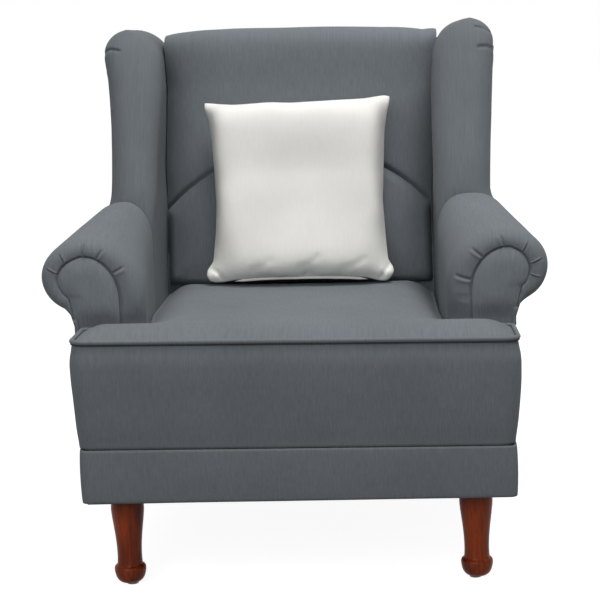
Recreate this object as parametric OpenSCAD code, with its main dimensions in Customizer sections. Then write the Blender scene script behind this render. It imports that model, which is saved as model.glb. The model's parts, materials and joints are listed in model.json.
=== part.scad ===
// Fireside chair: a wing back chair on turned legs, with rolled arms, a tight T seat,
// a padded lumbar panel and a loose scatter cushion.
// Millimetres. The sitter faces -Y, +Z is up, left and right are as seen from the front.

/* [Overall] */
// Depth from the front of the seat to the rear of the back
chair_d = 840; // [820:1:880]
// Height of the wings' crest
chair_h = 967; // [943:1:1003]

/* [Legs and base] */
// Height of the base above the floor
leg_h = 161; // [133:1:193]
// Diameter of a leg where it meets the base
leg_top_d = 50; // [44:1:56]
// Diameter of a leg at its swelling
leg_bulge_d = 58; // [52:1:62]
// Diameter of a leg at its ankle
leg_ankle_d = 43; // [34:1:46]
// Diameter of the ring above the foot
leg_ring_d = 55; // [48:1:60]
// Diameter of the foot at the floor
leg_toe_d = 28; // [24:1:36]
// Diameter of the bolt that holds a leg
leg_bolt_d = 8; // [6:1:10]
// Thickness of a glide under a foot
glide_t = 4; // [3:0.5:6]
// Width of the base band
base_w = 740; // [725:1:750]
// Height of the base band
band_h = 91; // [84:1:100]
// Thickness of the base rails
base_rail_t = 25; // [20:1:28]

/* [Upholstery] */
// Thickness of the cover cloth with its wadding
cloth_t = 4; // [3:0.5:5]
// Thickness of the padding on arms and wings
padding_t = 16; // [10:1:20]
// Diameter of the piping round the seat
piping_d = 8; // [6:0.5:10]

/* [Seat] */
// Width of the seat across its front, without the piping
seat_w = 756; // [740:1:770]
// Height of the seat's edge
seat_edge_h = 436; // [421:1:451]
// Rise of the seat's crown over its edge
seat_crown = 20; // [14:1:30]
// Depth of the back, from its foot in front to the rear of the chair
back_d = 274; // [260:1:290]
// Thickness of the seat rails
seat_rail_t = 28; // [22:1:30]
// Height of the seat rails
seat_rail_h = 84; // [70:1:90]
// Width of a webbing strap
webbing_w = 50; // [40:1:60]
// Thickness of a webbing strap
webbing_t = 2; // [1.5:0.5:3]

/* [Arms] */
// Width between the arms
arm_gap = 530; // [515:1:540]
// Distance of the arm fronts behind the seat front
arm_setback = 142; // [130:1:160]
// Height of the arm at its front
arm_front_h = 594; // [579:1:609]
// Height of the arm where it meets the wing
arm_rear_h = 644; // [633:1:653]
// Reach of the roll to its side, from its middle, at the front of the arm
arm_roll_r = 75; // [70:1:80]
// Height of the roll over its widest level, at the front of the arm
arm_roll_rise = 65; // [60:1:70]
// Radius of the roll where it meets the wing
arm_rear_roll_r = 65; // [60:1:68]
// Half distance between the two rolls' centres at the front
arm_roll_x = 373; // [368:1:378]
// Half distance between the two rolls' centres at the wings
arm_rear_roll_x = 328; // [323:1:331]
// How far the facing is set in from the roll
facing_inset = 24; // [18:1:28]
// Thickness of the boards in arms and wings
board_t = 18; // [12:1:20]

/* [Wings and back] */
// Distance of the wing fronts behind the seat front, at the arms
wing_setback = 367; // [357:1:377]
// How far the wing front leans back from the arms to its crest
wing_lean = 158; // [130:1:175]
// Half width over the wings at the arms
wing_waist_x = 361; // [356:1:366]
// Half width over the wings near their crest
wing_crest_x = 387; // [379:1:391]
// Height of the back at its corners
back_corner_h = 944; // [928:1:949]
// Rise of the back's top edge from the corners to the middle
back_rise = 16; // [8:1:22]
// Lean of the back's front in degrees
back_rake = 13; // [11:0.5:15]
// How far the back's padding swells forward in the middle
back_swell = 28; // [20:1:32]
// Thickness of the lumbar panel
lumbar_t = 28; // [20:1:34]
// Radius of the lumbar panel's arched seam
lumbar_r = 345; // [325:1:365]
// Height of the top of the lumbar arch
lumbar_h = 724; // [703:1:738]

/* [Scatter cushion] */
// Width of the cushion over its corners
cushion_w = 374; // [350:1:390]
// Height of the cushion along its slope
cushion_h = 378; // [356:1:391]
// Thickness of the cushion
cushion_t = 128; // [110:1:130]
// Lean of the cushion in degrees
cushion_lean = 15; // [14:0.5:18]

/* [Hidden] */

// Gap between pieces that lie against each other
gap = 0.3;
// How far a cut runs past the face that it opens
overrun = 1;
$fn = 48;

wood_colour = "#6b3a24";
frame_colour = "#cfae7d";
cloth_colour = "#6b7079";
foam_colour = "#efe3b4";
web_colour = "#2e2e30";
metal_colour = "#a8acb0";
cushion_colour = "#e4dfd6";

// Heights
band_top = leg_h + band_h;
seat_rail_top = band_top + seat_rail_h;
deck_h = seat_rail_top + 3 * webbing_t;

// Depths
front_y = -chair_d / 2;
rear_y = chair_d / 2;
seat_front_y = front_y + piping_d / 2;
arm_front_y = front_y + arm_setback;
wing_front_y = front_y + wing_setback;
shoulder_y = arm_front_y - piping_d / 2 - gap * 2;
seat_d = chair_d - back_d;
back_foot_y = front_y + seat_d;

// Base
base_tuck = 7;
base_corner_r = 12;
base_front_y = front_y + base_tuck + gap * 10;
base_rear_inset = 46;
base_rear_y = rear_y - base_rear_inset;
base_rail_x = base_w / 2 - base_tuck - cloth_t - gap;
base_rail_front_y = base_front_y + base_tuck + cloth_t + gap;
base_rail_rear_y = base_rear_y - base_tuck - cloth_t - gap;
leg_block_w = 64;
leg_block_h = 42;
leg_x = base_rail_x - base_rail_t - leg_block_w / 2;
leg_front_y = base_rail_front_y + base_rail_t + leg_block_w / 2;
leg_rear_y = base_rail_rear_y - base_rail_t - leg_block_w / 2;
leg_places = [[-leg_x, leg_front_y], [leg_x, leg_front_y], [-leg_x, leg_rear_y], [leg_x, leg_rear_y]];
dust_t = 1.2;
rail_foot = leg_h + 2;
bolt_up = 34;
bolt_down = 46;
t_nut_d = 22;
t_nut_t = 2;
t_nut_barrel_d = leg_bolt_d + 3;
t_nut_barrel_h = 12;
dowel_d = 10;
dowel_l = 44;

// Seat
seat_tuck = 14;
seat_round = 10;
seat_rake = 6;
seat_fall = 60;
seat_corner_r = 26;
shoulder_r = 6;
crease_r = 3;
arm_face_x = arm_gap / 2;
stem_x = arm_face_x - gap * 2;
seat_rail_ease = 2.3;
seat_rail_x = seat_w / 2 - seat_tuck - cloth_t - seat_rail_ease;
seat_rail_front_y = seat_front_y + seat_tuck + cloth_t + gap;
seat_rear_rail_t = 46;
rail_corner_r = seat_corner_r - (seat_tuck + cloth_t) / 2;
seat_centre = [0, (seat_front_y + shoulder_y) / 2];
panel_shares = [0, 0.3, 0.6];
panel_tuck_shares = [1, 0.42, 0.1];
top_ring_shares = [0.965, 0.92, 0.82, 0.6, 0.3];

// Arms
arm_rise = 105;
arm_rear_rise = 72;
arm_nose = 26;
facing_t = 4;
arm_neck_x = 392;
arm_rear_neck_x = 386;
arm_neck_drop = 79;
arm_rear_neck_drop = 30;
roll_end_angle = -60;
rear_roll_end_angle = -8;
roll_steps = 5;
under_share = 0.2;
board_ease = 12;
arm_rail_w = 34;
arm_rail_h = 30;

// Wings and back
side_x = 384;
side_tuck = 18;
side_tuck_h = 150;
wing_blend_low = arm_rear_h - 43;
wing_blend_high = arm_rear_h;
wing_inner_waist_x = 260;
wing_inner_crest_x = 271;
wing_side_t = 3;
wing_dome = 44;
wing_dome_r = 45;
wing_peak_x = 337;
wing_low_shares = [0.1, 0.7];
wing_blend_shares = [0, 0.5, 1];
wing_high_shares = [0.3, 0.6, 0.83];
wing_corner_r = 44;
wing_low_corner_r = 6;
wing_rear_corner_r = 12;
wing_shoulder = chair_h - wing_dome;
rear_lean = 40;
rear_panel_t = 5;
rear_swell = 3;
back_drop = 72;
back_rear_drop = 28;
post_w = 30;
post_d = 46;
post_x = 214;
post_back = 66;
back_rail_h = 44;
lumbar_foot = seat_edge_h + 18;
lumbar_gap = 2.2;
lumbar_centre_h = 563;

// Scatter cushion
cushion_front_share = 0.75;
cushion_pull = 20;
cushion_ear = 6;
cushion_setback = 88;
cushion_y = back_foot_y - cushion_setback;
cushion_seat_gap = 23.5;
zip_share = 0.72;

function mix(a, b, t) = a + (b - a) * t;
function unit(t) = min(1, max(0, t));
function ease(t) = let (u = unit(t)) u * u * (3 - 2 * u);
function between(p, q, n) = [for (i = [1 : n - 1]) p + (q - p) * i / n];
function arc(c, r, from, to, n) = [for (i = [0 : n]) let (a = mix(from, to, i / n)) c + r * [cos(a), sin(a)]];
function raised(path, z) = [for (p = path) [p[0], p[1], z]];

// Triangles that close a quad, and those of a grid of rows of m points
function quad(a, b, c, d) = [[a, b, c], [a, c, d]];
function grid(rows, m, first, closed, turned) = [
    for (i = [0 : rows - 2], j = [0 : m - (closed ? 1 : 2)])
        let (k = (j + 1) % m, a = first + i * m + j, d = first + i * m + k, b = a + m, c = d + m)
            each (turned ? quad(a, d, c, b) : quad(a, b, c, d))];
function flat(rows) = [for (row = rows) each row];

// A sheet of cloth or board with an outer and an inner face, each a grid of points
module sheet(outer, inner) {
    rows = len(outer);
    m = len(outer[0]);
    under = rows * m;
    last = (rows - 1) * m;
    polyhedron(concat(flat(outer), flat(inner)), concat(
        grid(rows, m, 0, false, false), grid(rows, m, under, false, true),
        [for (i = [0 : rows - 2]) let (a = i * m, b = a + m) each quad(b, a, under + a, under + b)],
        [for (i = [1 : rows - 1]) let (a = i * m - 1, b = a + m) each quad(a, b, under + b, under + a)],
        [for (j = [0 : m - 2]) each quad(j, j + 1, under + j + 1, under + j)],
        [for (j = [0 : m - 2]) let (a = last + j) each quad(a + 1, a, under + a, under + a + 1)]));
}

// A band of cloth round something, open at both ends
module band(outer, inner) {
    rows = len(outer);
    m = len(outer[0]);
    under = rows * m;
    last = (rows - 1) * m;
    polyhedron(concat(flat(outer), flat(inner)), concat(
        grid(rows, m, 0, true, false), grid(rows, m, under, true, true),
        [for (j = [0 : m - 1]) let (k = (j + 1) % m) each quad(j, k, under + k, under + j)],
        [for (j = [0 : m - 1]) let (k = (j + 1) % m)
            each quad(last + k, last + j, under + last + j, under + last + k)]));
}

// A cover that is open at its rim, the first ring, and closes at its tip
module cup(outer, outer_tip, inner, inner_tip) {
    m = len(outer[0]);
    under = len(outer) * m;
    end = under + len(inner) * m;
    polyhedron(concat(flat(outer), flat(inner), [outer_tip, inner_tip]), concat(
        grid(len(outer), m, 0, true, false), grid(len(inner), m, under, true, true),
        [for (j = [0 : m - 1]) let (k = (j + 1) % m) each quad(j, k, under + k, under + j)],
        [for (j = [0 : m - 1]) let (k = (j + 1) % m) [under - m + j, end, under - m + k]],
        [for (j = [0 : m - 1]) let (k = (j + 1) % m) [end - m + k, end + 1, end - m + j]]));
}

// A solid lofted through closed rings, from a first tip to a last one
module loft(rings, first_tip, last_tip) {
    m = len(rings[0]);
    end = len(rings) * m;
    polyhedron(concat(flat(rings), [first_tip, last_tip]), concat(
        grid(len(rings), m, 0, true, false),
        [for (j = [0 : m - 1]) let (k = (j + 1) % m) [j, k, end]],
        [for (j = [0 : m - 1]) let (k = (j + 1) % m) [end - m + k, end - m + j, end + 1]]));
}

module left_one() {
    mirror([1, 0, 0]) children();
}

// Legs

// Half profile of the turned leg from floor to base, as heights' and radii's shares
function leg_profile() =
    let (top = leg_h - glide_t, toe = leg_toe_d / 2, ring = leg_ring_d / 2, ankle = leg_ankle_d / 2,
        bulge = leg_bulge_d / 2, foot_h = top * 0.13, ring_h = top * 0.045, neck = ankle * 1.02)
    concat(
        [[0, 0], [toe * 0.9, 0], [toe, toe * 0.12]],
        [for (a = [10 : 20 : 90]) [mix(toe, ring * 0.93, sin(a)), mix(toe * 0.12, foot_h * 0.82, 1 - cos(a))]],
        [for (a = [-60 : 30 : 60]) [ring * 0.93 + ring * 0.07 * cos(a), foot_h + ring_h * sin(a) * 0.9]],
        [[neck, foot_h + ring_h * 1.7]],
        [for (i = [0 : 12]) let (t = i / 12)
            [mix(ankle, bulge, ease(t)), mix(foot_h + ring_h * 2.6, top * 0.86, t)]],
        [for (a = [20 : 20 : 60]) [mix(leg_top_d / 2 * 1.02, bulge, cos(a)), mix(top * 0.86, top, sin(a) * 0.92)]],
        [[leg_top_d / 2, top], [0, top]]);

module leg(place) {
    color(wood_colour)
        translate([place[0], place[1], glide_t])
            difference() {
                rotate_extrude() polygon(leg_profile());
                translate([0, 0, leg_h - glide_t - bolt_down - gap])
                    cylinder(d = leg_bolt_d + 2 * gap, h = bolt_down + gap + overrun);
            }
}

module front_left_leg() leg(leg_places[0]);
module front_right_leg() leg(leg_places[1]);
module rear_left_leg() leg(leg_places[2]);
module rear_right_leg() leg(leg_places[3]);

module foot_glides() {
    color(metal_colour)
        for (place = leg_places)
            translate(place) cylinder(d1 = leg_toe_d * 0.72, d2 = leg_toe_d * 0.85, h = glide_t);
}

module hanger_bolts() {
    color(metal_colour)
        for (place = leg_places)
            translate([place[0], place[1], leg_h - bolt_down])
                cylinder(d = leg_bolt_d, h = bolt_down + bolt_up);
}

module leg_t_nuts() {
    color(metal_colour)
        for (place = leg_places)
            translate([place[0], place[1], rail_foot + leg_block_h])
                difference() {
                    union() {
                        cylinder(d = t_nut_d, h = t_nut_t);
                        translate([0, 0, -t_nut_barrel_h]) cylinder(d = t_nut_barrel_d, h = t_nut_barrel_h);
                    }
                    translate([0, 0, -t_nut_barrel_h - overrun])
                        cylinder(d = leg_bolt_d + 2 * gap, h = t_nut_barrel_h + t_nut_t + 2 * overrun);
                }
}

module leg_blocks() {
    color(frame_colour)
        for (place = leg_places)
            translate([place[0], place[1], leg_h])
                difference() {
                    translate([-leg_block_w / 2, -leg_block_w / 2, 0])
                        cube([leg_block_w, leg_block_w, leg_block_h + rail_foot - leg_h]);
                    translate([0, 0, -overrun])
                        cylinder(d = leg_bolt_d + 2 * gap, h = leg_block_h + 4 * overrun);
                    translate([0, 0, leg_block_h + rail_foot - leg_h - t_nut_barrel_h - gap])
                        cylinder(d = t_nut_barrel_d + 2 * gap, h = t_nut_barrel_h + 2 * overrun);
                }
}

// Base

// Where the dowels of a frame of rails lie, one [x, y] for each end of a side rail
function dowel_ends(x, t, front, rear, width) = [for (sx = [-1, 1], y = [front + t, rear - width])
    [sx * (x - t / 2), y]];

module dowels_at(places, height) {
    for (p = places, z = [height / 3, height * 2 / 3])
        translate([p[0], p[1] - dowel_l / 2, z]) rotate([-90, 0, 0]) children();
}

module base_dowels(d, l) {
    translate([0, -(l - dowel_l) / 2, rail_foot])
        dowels_at(dowel_ends(base_rail_x, base_rail_t, base_rail_front_y, base_rail_rear_y, base_rail_t),
            band_top - rail_foot)
            cylinder(d = d, h = l);
}

module seat_dowels(d, l) {
    translate([0, -(l - dowel_l) / 2, band_top])
        dowels_at([for (sx = [-1, 1]) [sx * (seat_rail_x - seat_rail_t / 2), seat_rail_front_y + seat_rail_t]],
            seat_rail_h)
            cylinder(d = d, h = l);
}

module frame_dowels() {
    color(frame_colour) {
        base_dowels(dowel_d, dowel_l);
        seat_dowels(dowel_d, dowel_l);
    }
}

module base_cross_rail(y) {
    color(frame_colour)
        difference() {
            translate([-base_rail_x, y, rail_foot])
                cube([2 * base_rail_x, base_rail_t, band_top - rail_foot]);
            base_dowels(dowel_d + 2 * gap, dowel_l + 2 * gap);
        }
}

module base_front_rail() base_cross_rail(base_rail_front_y);
module base_rear_rail() base_cross_rail(base_rail_rear_y - base_rail_t);

module base_right_rail() {
    color(frame_colour)
        difference() {
            translate([base_rail_x - base_rail_t, base_rail_front_y + base_rail_t, rail_foot])
                cube([base_rail_t, base_rail_rear_y - base_rail_front_y - 2 * base_rail_t, band_top - rail_foot]);
            base_dowels(dowel_d + 2 * gap, dowel_l + 2 * gap);
        }
}

module base_left_rail() left_one() base_right_rail();

function base_outline(inset) =
    let (x = base_w / 2 - inset, front = base_front_y + inset, rear = base_rear_y - inset,
        r = base_corner_r - inset)
    concat(
        between([-x + r, front], [x - r, front], 5),
        arc([x - r, front + r], r, -90, 0, 4), between([x, front + r], [x, rear - r], 4),
        arc([x - r, rear - r], r, 0, 90, 4), between([x - r, rear], [-x + r, rear], 5),
        arc([-x + r, rear - r], r, 90, 180, 4), between([-x, rear - r], [-x, front + r], 4),
        arc([-x + r, front + r], r, 180, 270, 4));

module base_band_cover() {
    swell_shares = [0, 0.1, 0.5, 0.9, 1];
    function band_rings(t) = [for (s = swell_shares)
        raised(base_outline(base_tuck * (1 - sin(180 * s)) + t), mix(leg_h, band_top - 2 * gap, s))];
    color(cloth_colour) band(band_rings(0), band_rings(cloth_t));
}

module dust_cover() {
    color(web_colour)
        difference() {
            translate([-base_rail_x, base_rail_front_y, leg_h])
                cube([2 * base_rail_x, base_rail_rear_y - base_rail_front_y, dust_t]);
            for (place = leg_places)
                translate([place[0], place[1], leg_h])
                    cube([leg_block_w + 2 * gap, leg_block_w + 2 * gap, 4 * dust_t], center = true);
        }
}

// Seat

module seat_front_rail() {
    color(frame_colour)
        difference() {
            translate([0, seat_rail_front_y, band_top])
                linear_extrude(seat_rail_h)
                    polygon(concat(
                        arc([seat_rail_x - rail_corner_r, rail_corner_r], rail_corner_r, -90, 0, 5),
                        [[seat_rail_x, seat_rail_t], [-seat_rail_x, seat_rail_t]],
                        arc([-seat_rail_x + rail_corner_r, rail_corner_r], rail_corner_r, 180, 270, 5)));
            seat_dowels(dowel_d + 2 * gap, dowel_l + 2 * gap);
        }
}

// Front face of the rear rail, which carries the back posts
seat_rear_rail_y = post_y(seat_rail_top);

module seat_rear_rail() {
    color(frame_colour)
        translate([-wing_board_x + gap, seat_rear_rail_y, band_top])
            cube([2 * wing_board_x - 2 * gap, seat_rear_rail_t, seat_rail_h]);
}

module seat_right_rail() {
    color(frame_colour)
        difference() {
            translate([seat_rail_x - seat_rail_t, seat_rail_front_y + seat_rail_t, band_top])
                cube([seat_rail_t, base_rail_rear_y - seat_rail_front_y - seat_rail_t, seat_rail_h]);
            seat_dowels(dowel_d + 2 * gap, dowel_l + 2 * gap);
        }
}

module seat_left_rail() left_one() seat_right_rail();

// Straps across the seat lie between the boards that stand on its side rails,
// and the straps from front to back lie over them
module seat_webbing() {
    bays = [[seat_rail_front_y + seat_rail_t, arm_front_y, 1],
        [arm_front_y + facing_t + 2 * gap + board_t, wing_front_y - board_t - 4 * gap, 3],
        [wing_front_y, back_foot_y, 2]];
    color(web_colour) {
        for (bay = bays, i = [0 : bay[2] - 1])
            translate([-seat_rail_x + seat_rail_t / 4,
                mix(bay[0], bay[1], (i + 0.5) / bay[2]) - webbing_w / 2, seat_rail_top])
                cube([2 * seat_rail_x - seat_rail_t / 2, webbing_w, webbing_t]);
        for (i = [-2 : 2])
            translate([i * webbing_w * 1.8 - webbing_w / 2, seat_rail_front_y + seat_rail_t / 4,
                seat_rail_top + webbing_t])
                cube([webbing_w, seat_rear_rail_y + seat_rear_rail_t - seat_rail_front_y - seat_rail_t / 2,
                    webbing_t]);
    }
}

// The T shaped outline of the seat, set in from its edge, with its front and sides tucked in further
function seat_outline(inset, tuck) =
    let (ear = seat_w / 2 - inset - tuck, stem = stem_x - inset, front = seat_front_y + inset + tuck,
        shoulder = shoulder_y - inset, r = seat_corner_r - (inset + tuck) / 2, small = shoulder_r, hollow = crease_r,
        half = concat(
            [[ear / 3, front], [ear * 2 / 3, front]],
            arc([ear - r, front + r], r, -90, 0, 5),
            [[ear, mix(front + r, shoulder - small, 0.5)]],
            arc([ear - small, shoulder - small], small, 0, 90, 2),
            [[mix(stem + hollow, ear - small, 0.5), shoulder]],
            arc([stem + hollow, shoulder + hollow], hollow, 270, 180, 2),
            [for (t = [0.33, 0.66]) [stem, mix(shoulder, seat_back_y(stem, inset), t)]],
            [for (i = [len(across_shares) - 1 : -1 : len(across_shares) / 2])
                let (x = stem * across_shares[i]) [x, seat_back_y(x, inset)]]))
    concat([[0, front]], half, [[0, seat_back_y(0, inset)]],
        [for (i = [len(half) - 1 : -1 : 0]) [-half[i][0], half[i][1]]]);

// Rear edge of the seat, which follows the face of the back
function seat_back_y(x, inset) = back_face_y(x, seat_edge_h) - 2 * gap - inset;

function seat_lower(y) = y < shoulder_y - shoulder_r / 2 ? band_top + 2 * gap : deck_h;
function seat_wall(t, share, tuck) = [for (p = seat_outline(t, tuck))
    [p[0], p[1], mix(seat_lower(p[1] + t), seat_edge_h - seat_round, share)]];

// Height of the seat's top at a depth y and a distance from its edge
function seat_top_z(y, from_edge) = seat_edge_h
    + (seat_crown + seat_rake * (y - front_y) / seat_d) * (1 - pow(1 - unit(from_edge / seat_fall), 2));
function seat_top(t, share) = [for (p = seat_outline(seat_round + t, 0))
    let (reach = p - seat_centre, q = seat_centre + reach * share)
        [q[0], q[1], seat_top_z(q[1], norm(reach) * (1 - share)) - t]];

function seat_shell(t) = concat(
    [for (i = [0 : len(panel_shares) - 1]) seat_wall(t, panel_shares[i], seat_tuck * panel_tuck_shares[i])],
    [for (a = [0 : 30 : 90]) let (r = seat_round) [for (p = seat_outline(t + r * (1 - cos(a)), 0))
        [p[0], p[1], seat_edge_h - r + (r - t) * sin(a)]]],
    [for (s = top_ring_shares) seat_top(t, s)]);
function seat_tip(t) = [seat_centre[0], seat_centre[1], seat_top_z(seat_centre[1], seat_fall) - t];

module seat_cover() {
    color(cloth_colour)
        cup(seat_shell(0), seat_tip(0), seat_shell(cloth_t), seat_tip(cloth_t));
}

module seat_foam() {
    t = cloth_t + gap;
    foam_ring_shares = [0.92, 0.6];
    rings = concat(
        [for (i = [0 : len(panel_shares) - 1]) raised(seat_outline(t, seat_tuck * panel_tuck_shares[i]),
            mix(deck_h, seat_edge_h - seat_round, panel_shares[i]))],
        [raised(seat_outline(t + seat_round, 0), seat_edge_h - t)],
        [for (s = foam_ring_shares) [for (p = seat_top(t, s)) p - [0, 0, gap]]]);
    color(foam_colour) loft(rings, [seat_centre[0], seat_centre[1], deck_h], seat_tip(t + gap));
}

// Piping along the front and the sides of the T, to the middles of its shoulders
function piping_path() =
    let (ring = seat_outline(-gap / 2, 0), n = len(ring), mid_shoulder = 13)
    concat([for (i = [mid_shoulder : -1 : 1]) ring[n - i]], [for (i = [0 : mid_shoulder]) ring[i]]);

module seat_piping() {
    path = piping_path();
    n = len(path);
    sides = 8;
    r = piping_d / 2;
    rings = [for (i = [0 : n - 1])
        let (d = path[min(i + 1, n - 1)] - path[max(i - 1, 0)], u = d / norm(d), side = [u[1], -u[0]])
        [for (k = [0 : sides - 1]) let (a = 360 * k / sides)
            [path[i][0] + side[0] * r * cos(a), path[i][1] + side[1] * r * cos(a),
                seat_edge_h + gap + r * sin(a)]]];
    color(cloth_colour)
        loft(rings, [path[0][0], path[0][1], seat_edge_h + gap],
            [path[n - 1][0], path[n - 1][1], seat_edge_h + gap]);
}

// Arms, drawn for the right one

function along_arm(y) = unit((y - arm_front_y) / (wing_front_y - arm_front_y));

// Section of the arm at a depth y, up the inner face, over the roll and down to its neck.
// The nose is how far the front rounds in, and t is how far the path lies inside the cover.
function arm_section(y, nose, t) =
    let (s = along_arm(y), x = mix(arm_roll_x, arm_rear_roll_x, s), top = mix(arm_front_h, arm_rear_h, s),
        r = mix(arm_roll_r, arm_rear_roll_r, s), over = mix(arm_roll_rise, arm_rear_roll_r, s),
        rise = mix(arm_rise, arm_rear_rise, s), inner = arm_face_x + 2 * nose + t, low = top - rise, hub = top - over,
        last = mix(roll_end_angle, rear_roll_end_angle, s), under = facing_inset * under_share * (1 - s),
        neck = [mix(arm_neck_x, arm_rear_neck_x, s), hub - mix(arm_neck_drop, arm_rear_neck_drop, s)])
    concat(
        [[inner, y, deck_h], [inner, y, mix(deck_h, low, 0.5)]],
        [for (a = [180 : -22.5 : 90])
            [x + (x - inner) * cos(a), y, low + (rise - nose - t) * sin(a)]],
        [for (i = [1 : roll_steps]) let (a = mix(90, last, i / roll_steps),
            in = max(nose, under * ease(a / roll_end_angle)) + t)
            [x + (r - in) * cos(a), y, hub + (over - in) * sin(a)]],
        [[neck[0] - t, y, neck[1] + t]]);

arm_body_shares = [0.3, 0.65, 1];
function arm_rows(t) = concat(
    [for (a = [0 : 30 : 90]) arm_section(arm_front_y + arm_nose * (1 - cos(a)), facing_inset * (1 - sin(a)), t)],
    [for (s = arm_body_shares) arm_section(mix(arm_front_y + arm_nose, wing_front_y - 2 * gap, s), 0, t)]);

module right_arm_cover() {
    color(cloth_colour) sheet(arm_rows(0), arm_rows(cloth_t));
}

module left_arm_cover() left_one() right_arm_cover();

module right_arm_padding() {
    function rows(t) = [for (s = concat([0], arm_body_shares))
        arm_section(mix(arm_front_y + arm_nose, wing_front_y - 2 * gap, s), 0, t)];
    color(foam_colour) sheet(rows(cloth_t + gap), rows(cloth_t + padding_t));
}

module left_arm_padding() left_one() right_arm_padding();

// Outline of an upright piece in the arm's section, from its foot over the roll to a hip below it
function arm_shape(y, nose, t, foot, outer) =
    let (section = arm_section(y, nose, t), n = len(section),
        edge = [for (i = [0 : n - 2]) if (section[i][2] > foot + overrun) [section[i][0], section[i][2]]],
        hip = [min(outer, section[n - 1][0]), min(section[n - 1][2], section[n - 2][2] - overrun)])
    concat([[edge[0][0], foot]], edge, [hip]);

// An upright piece with that outline, from its front face back
module upright(y, thick, outline) {
    translate([0, y + thick, 0])
        rotate([90, 0, 0])
            linear_extrude(thick)
                polygon(outline);
}

// The facing goes on down beside the seat's ear to the base
module right_arm_facing() {
    side_shares = [0.8, 0.4, 0.2, 0.08, 0];
    shape = arm_shape(arm_front_y, facing_inset, cloth_t + 4 * gap, deck_h, side_x);
    hip = shape[len(shape) - 1];
    foot = band_top + 2 * gap;
    edge = seat_rail_x + 2 * gap;
    color(cloth_colour)
        upright(arm_front_y, facing_t, concat(shape,
            [for (s = side_shares) let (z = mix(foot, hip[1], s)) [min(side_face_x(z), hip[0]), z]],
            [[edge, foot], [edge, deck_h]]));
}

module left_arm_facing() left_one() right_arm_facing();

module arm_board(y, nose, t) {
    shape = arm_shape(y, nose, t, seat_rail_top, board_outer_x);
    color(frame_colour)
        upright(y, board_t, concat(shape, [[shape[len(shape) - 1][0], seat_rail_top]]));
}

module right_arm_front_board() arm_board(arm_front_y + facing_t + gap, facing_inset, cloth_t + board_ease);

module left_arm_front_board() left_one() right_arm_front_board();

module right_arm_rear_board() arm_board(wing_front_y - board_t - 4 * gap, 0, cloth_t + padding_t + board_ease);

module left_arm_rear_board() left_one() right_arm_rear_board();

module right_arm_rail() {
    from_y = arm_front_y + facing_t + 2 * gap + board_t;
    to_y = wing_front_y - board_t - 5 * gap;
    function section(y) = let (s = along_arm(y), x = mix(arm_roll_x, arm_rear_roll_x, s) - arm_rail_w / 2,
        z = mix(arm_front_h - arm_roll_rise, arm_rear_h - arm_rear_roll_r, s) - arm_rail_h / 2)
        [[x, y, z], [x, y, z + arm_rail_h], [x + arm_rail_w, y, z + arm_rail_h], [x + arm_rail_w, y, z]];
    function middle(y) = (section(y)[0] + section(y)[2]) / 2;
    color(frame_colour) loft([section(from_y), section(to_y)], middle(from_y), middle(to_y));
}

module left_arm_rail() left_one() right_arm_rail();

// Sides of the chair below the arm rolls and behind them

// Outer edge of the boards that stand inside the sides
board_outer_x = side_face_x(seat_rail_top) - cloth_t - gap;

function side_face_x(z) = side_x - side_tuck * (1 - sin(90 * unit((z - band_top) / side_tuck_h)));
function rear_face_y(z) = rear_y - rear_swell - rear_lean * (1 - unit((z - band_top) / (wing_shoulder - band_top)));
function arm_neck_z(y) = let (s = along_arm(y)) mix(arm_front_h - arm_roll_rise - arm_neck_drop,
    arm_rear_h - arm_rear_roll_r - arm_rear_neck_drop, s) - gap * 4;

// The outside arm runs under the roll, steps up to the wing and goes on to the rear
module right_outside_arm() {
    height_shares = [1, 0.72, 0.45, 0.25, 0.12, 0];
    start = arm_front_y + facing_t + gap;
    end = wing_front_y - 2 * gap;
    function row(y, behind, top, t) = [for (h = height_shares)
        let (z = mix(band_top + 2 * gap, top, h))
            [side_face_x(z) - t, mix(y, rear_face_y(z) - rear_panel_t - gap, behind), z]];
    function rows(t) = concat(
        [for (s = [0, 0.5, 1]) let (y = mix(start, end, s)) row(y, 0, arm_neck_z(y), t)],
        [for (s = [0, 0.5, 1]) row(wing_front_y + 2 * gap, s, wing_blend_low, t)]);
    color(cloth_colour) sheet(rows(0), rows(cloth_t));
}

module left_outside_arm() left_one() right_outside_arm();

// Wings, drawn for the right one

// Inner face of the wing's board, which stands against the seat's side rail
wing_board_x = seat_rail_x - seat_rail_t - board_t;
wing_levels = concat(
    [for (s = wing_low_shares) mix(deck_h, wing_blend_low, s)],
    [for (s = wing_blend_shares) mix(wing_blend_low, wing_blend_high, s)],
    [for (s = wing_high_shares) mix(wing_blend_high, wing_shoulder, s)]);
function wing_in(z) = z < wing_blend_high
    ? mix(arm_face_x, wing_inner_waist_x, ease((z - wing_blend_low) / (wing_blend_high - wing_blend_low)))
    : mix(wing_inner_waist_x, wing_inner_crest_x, unit((z - wing_blend_high) / (wing_shoulder - wing_blend_high)));
function wing_out(z) = (z < wing_blend_high
    ? mix(side_face_x(z) - cloth_t, wing_waist_x, ease((z - wing_blend_low) / (wing_blend_high - wing_blend_low)))
    : mix(wing_waist_x, wing_crest_x, pow(unit((z - wing_blend_high) / (wing_shoulder - wing_blend_high)), 1.6)))
    - wing_side_t - gap;
function wing_front(z) = wing_front_y
    + wing_lean * pow(unit((z - arm_rear_h) / (wing_shoulder - arm_rear_h)), 1.1);
function wing_rear(z) = rear_face_y(z) - rear_panel_t - gap;
function wing_round(z) = mix(wing_low_corner_r, wing_corner_r,
    ease((z - wing_blend_low) / (wing_blend_high - wing_blend_low)));

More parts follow.
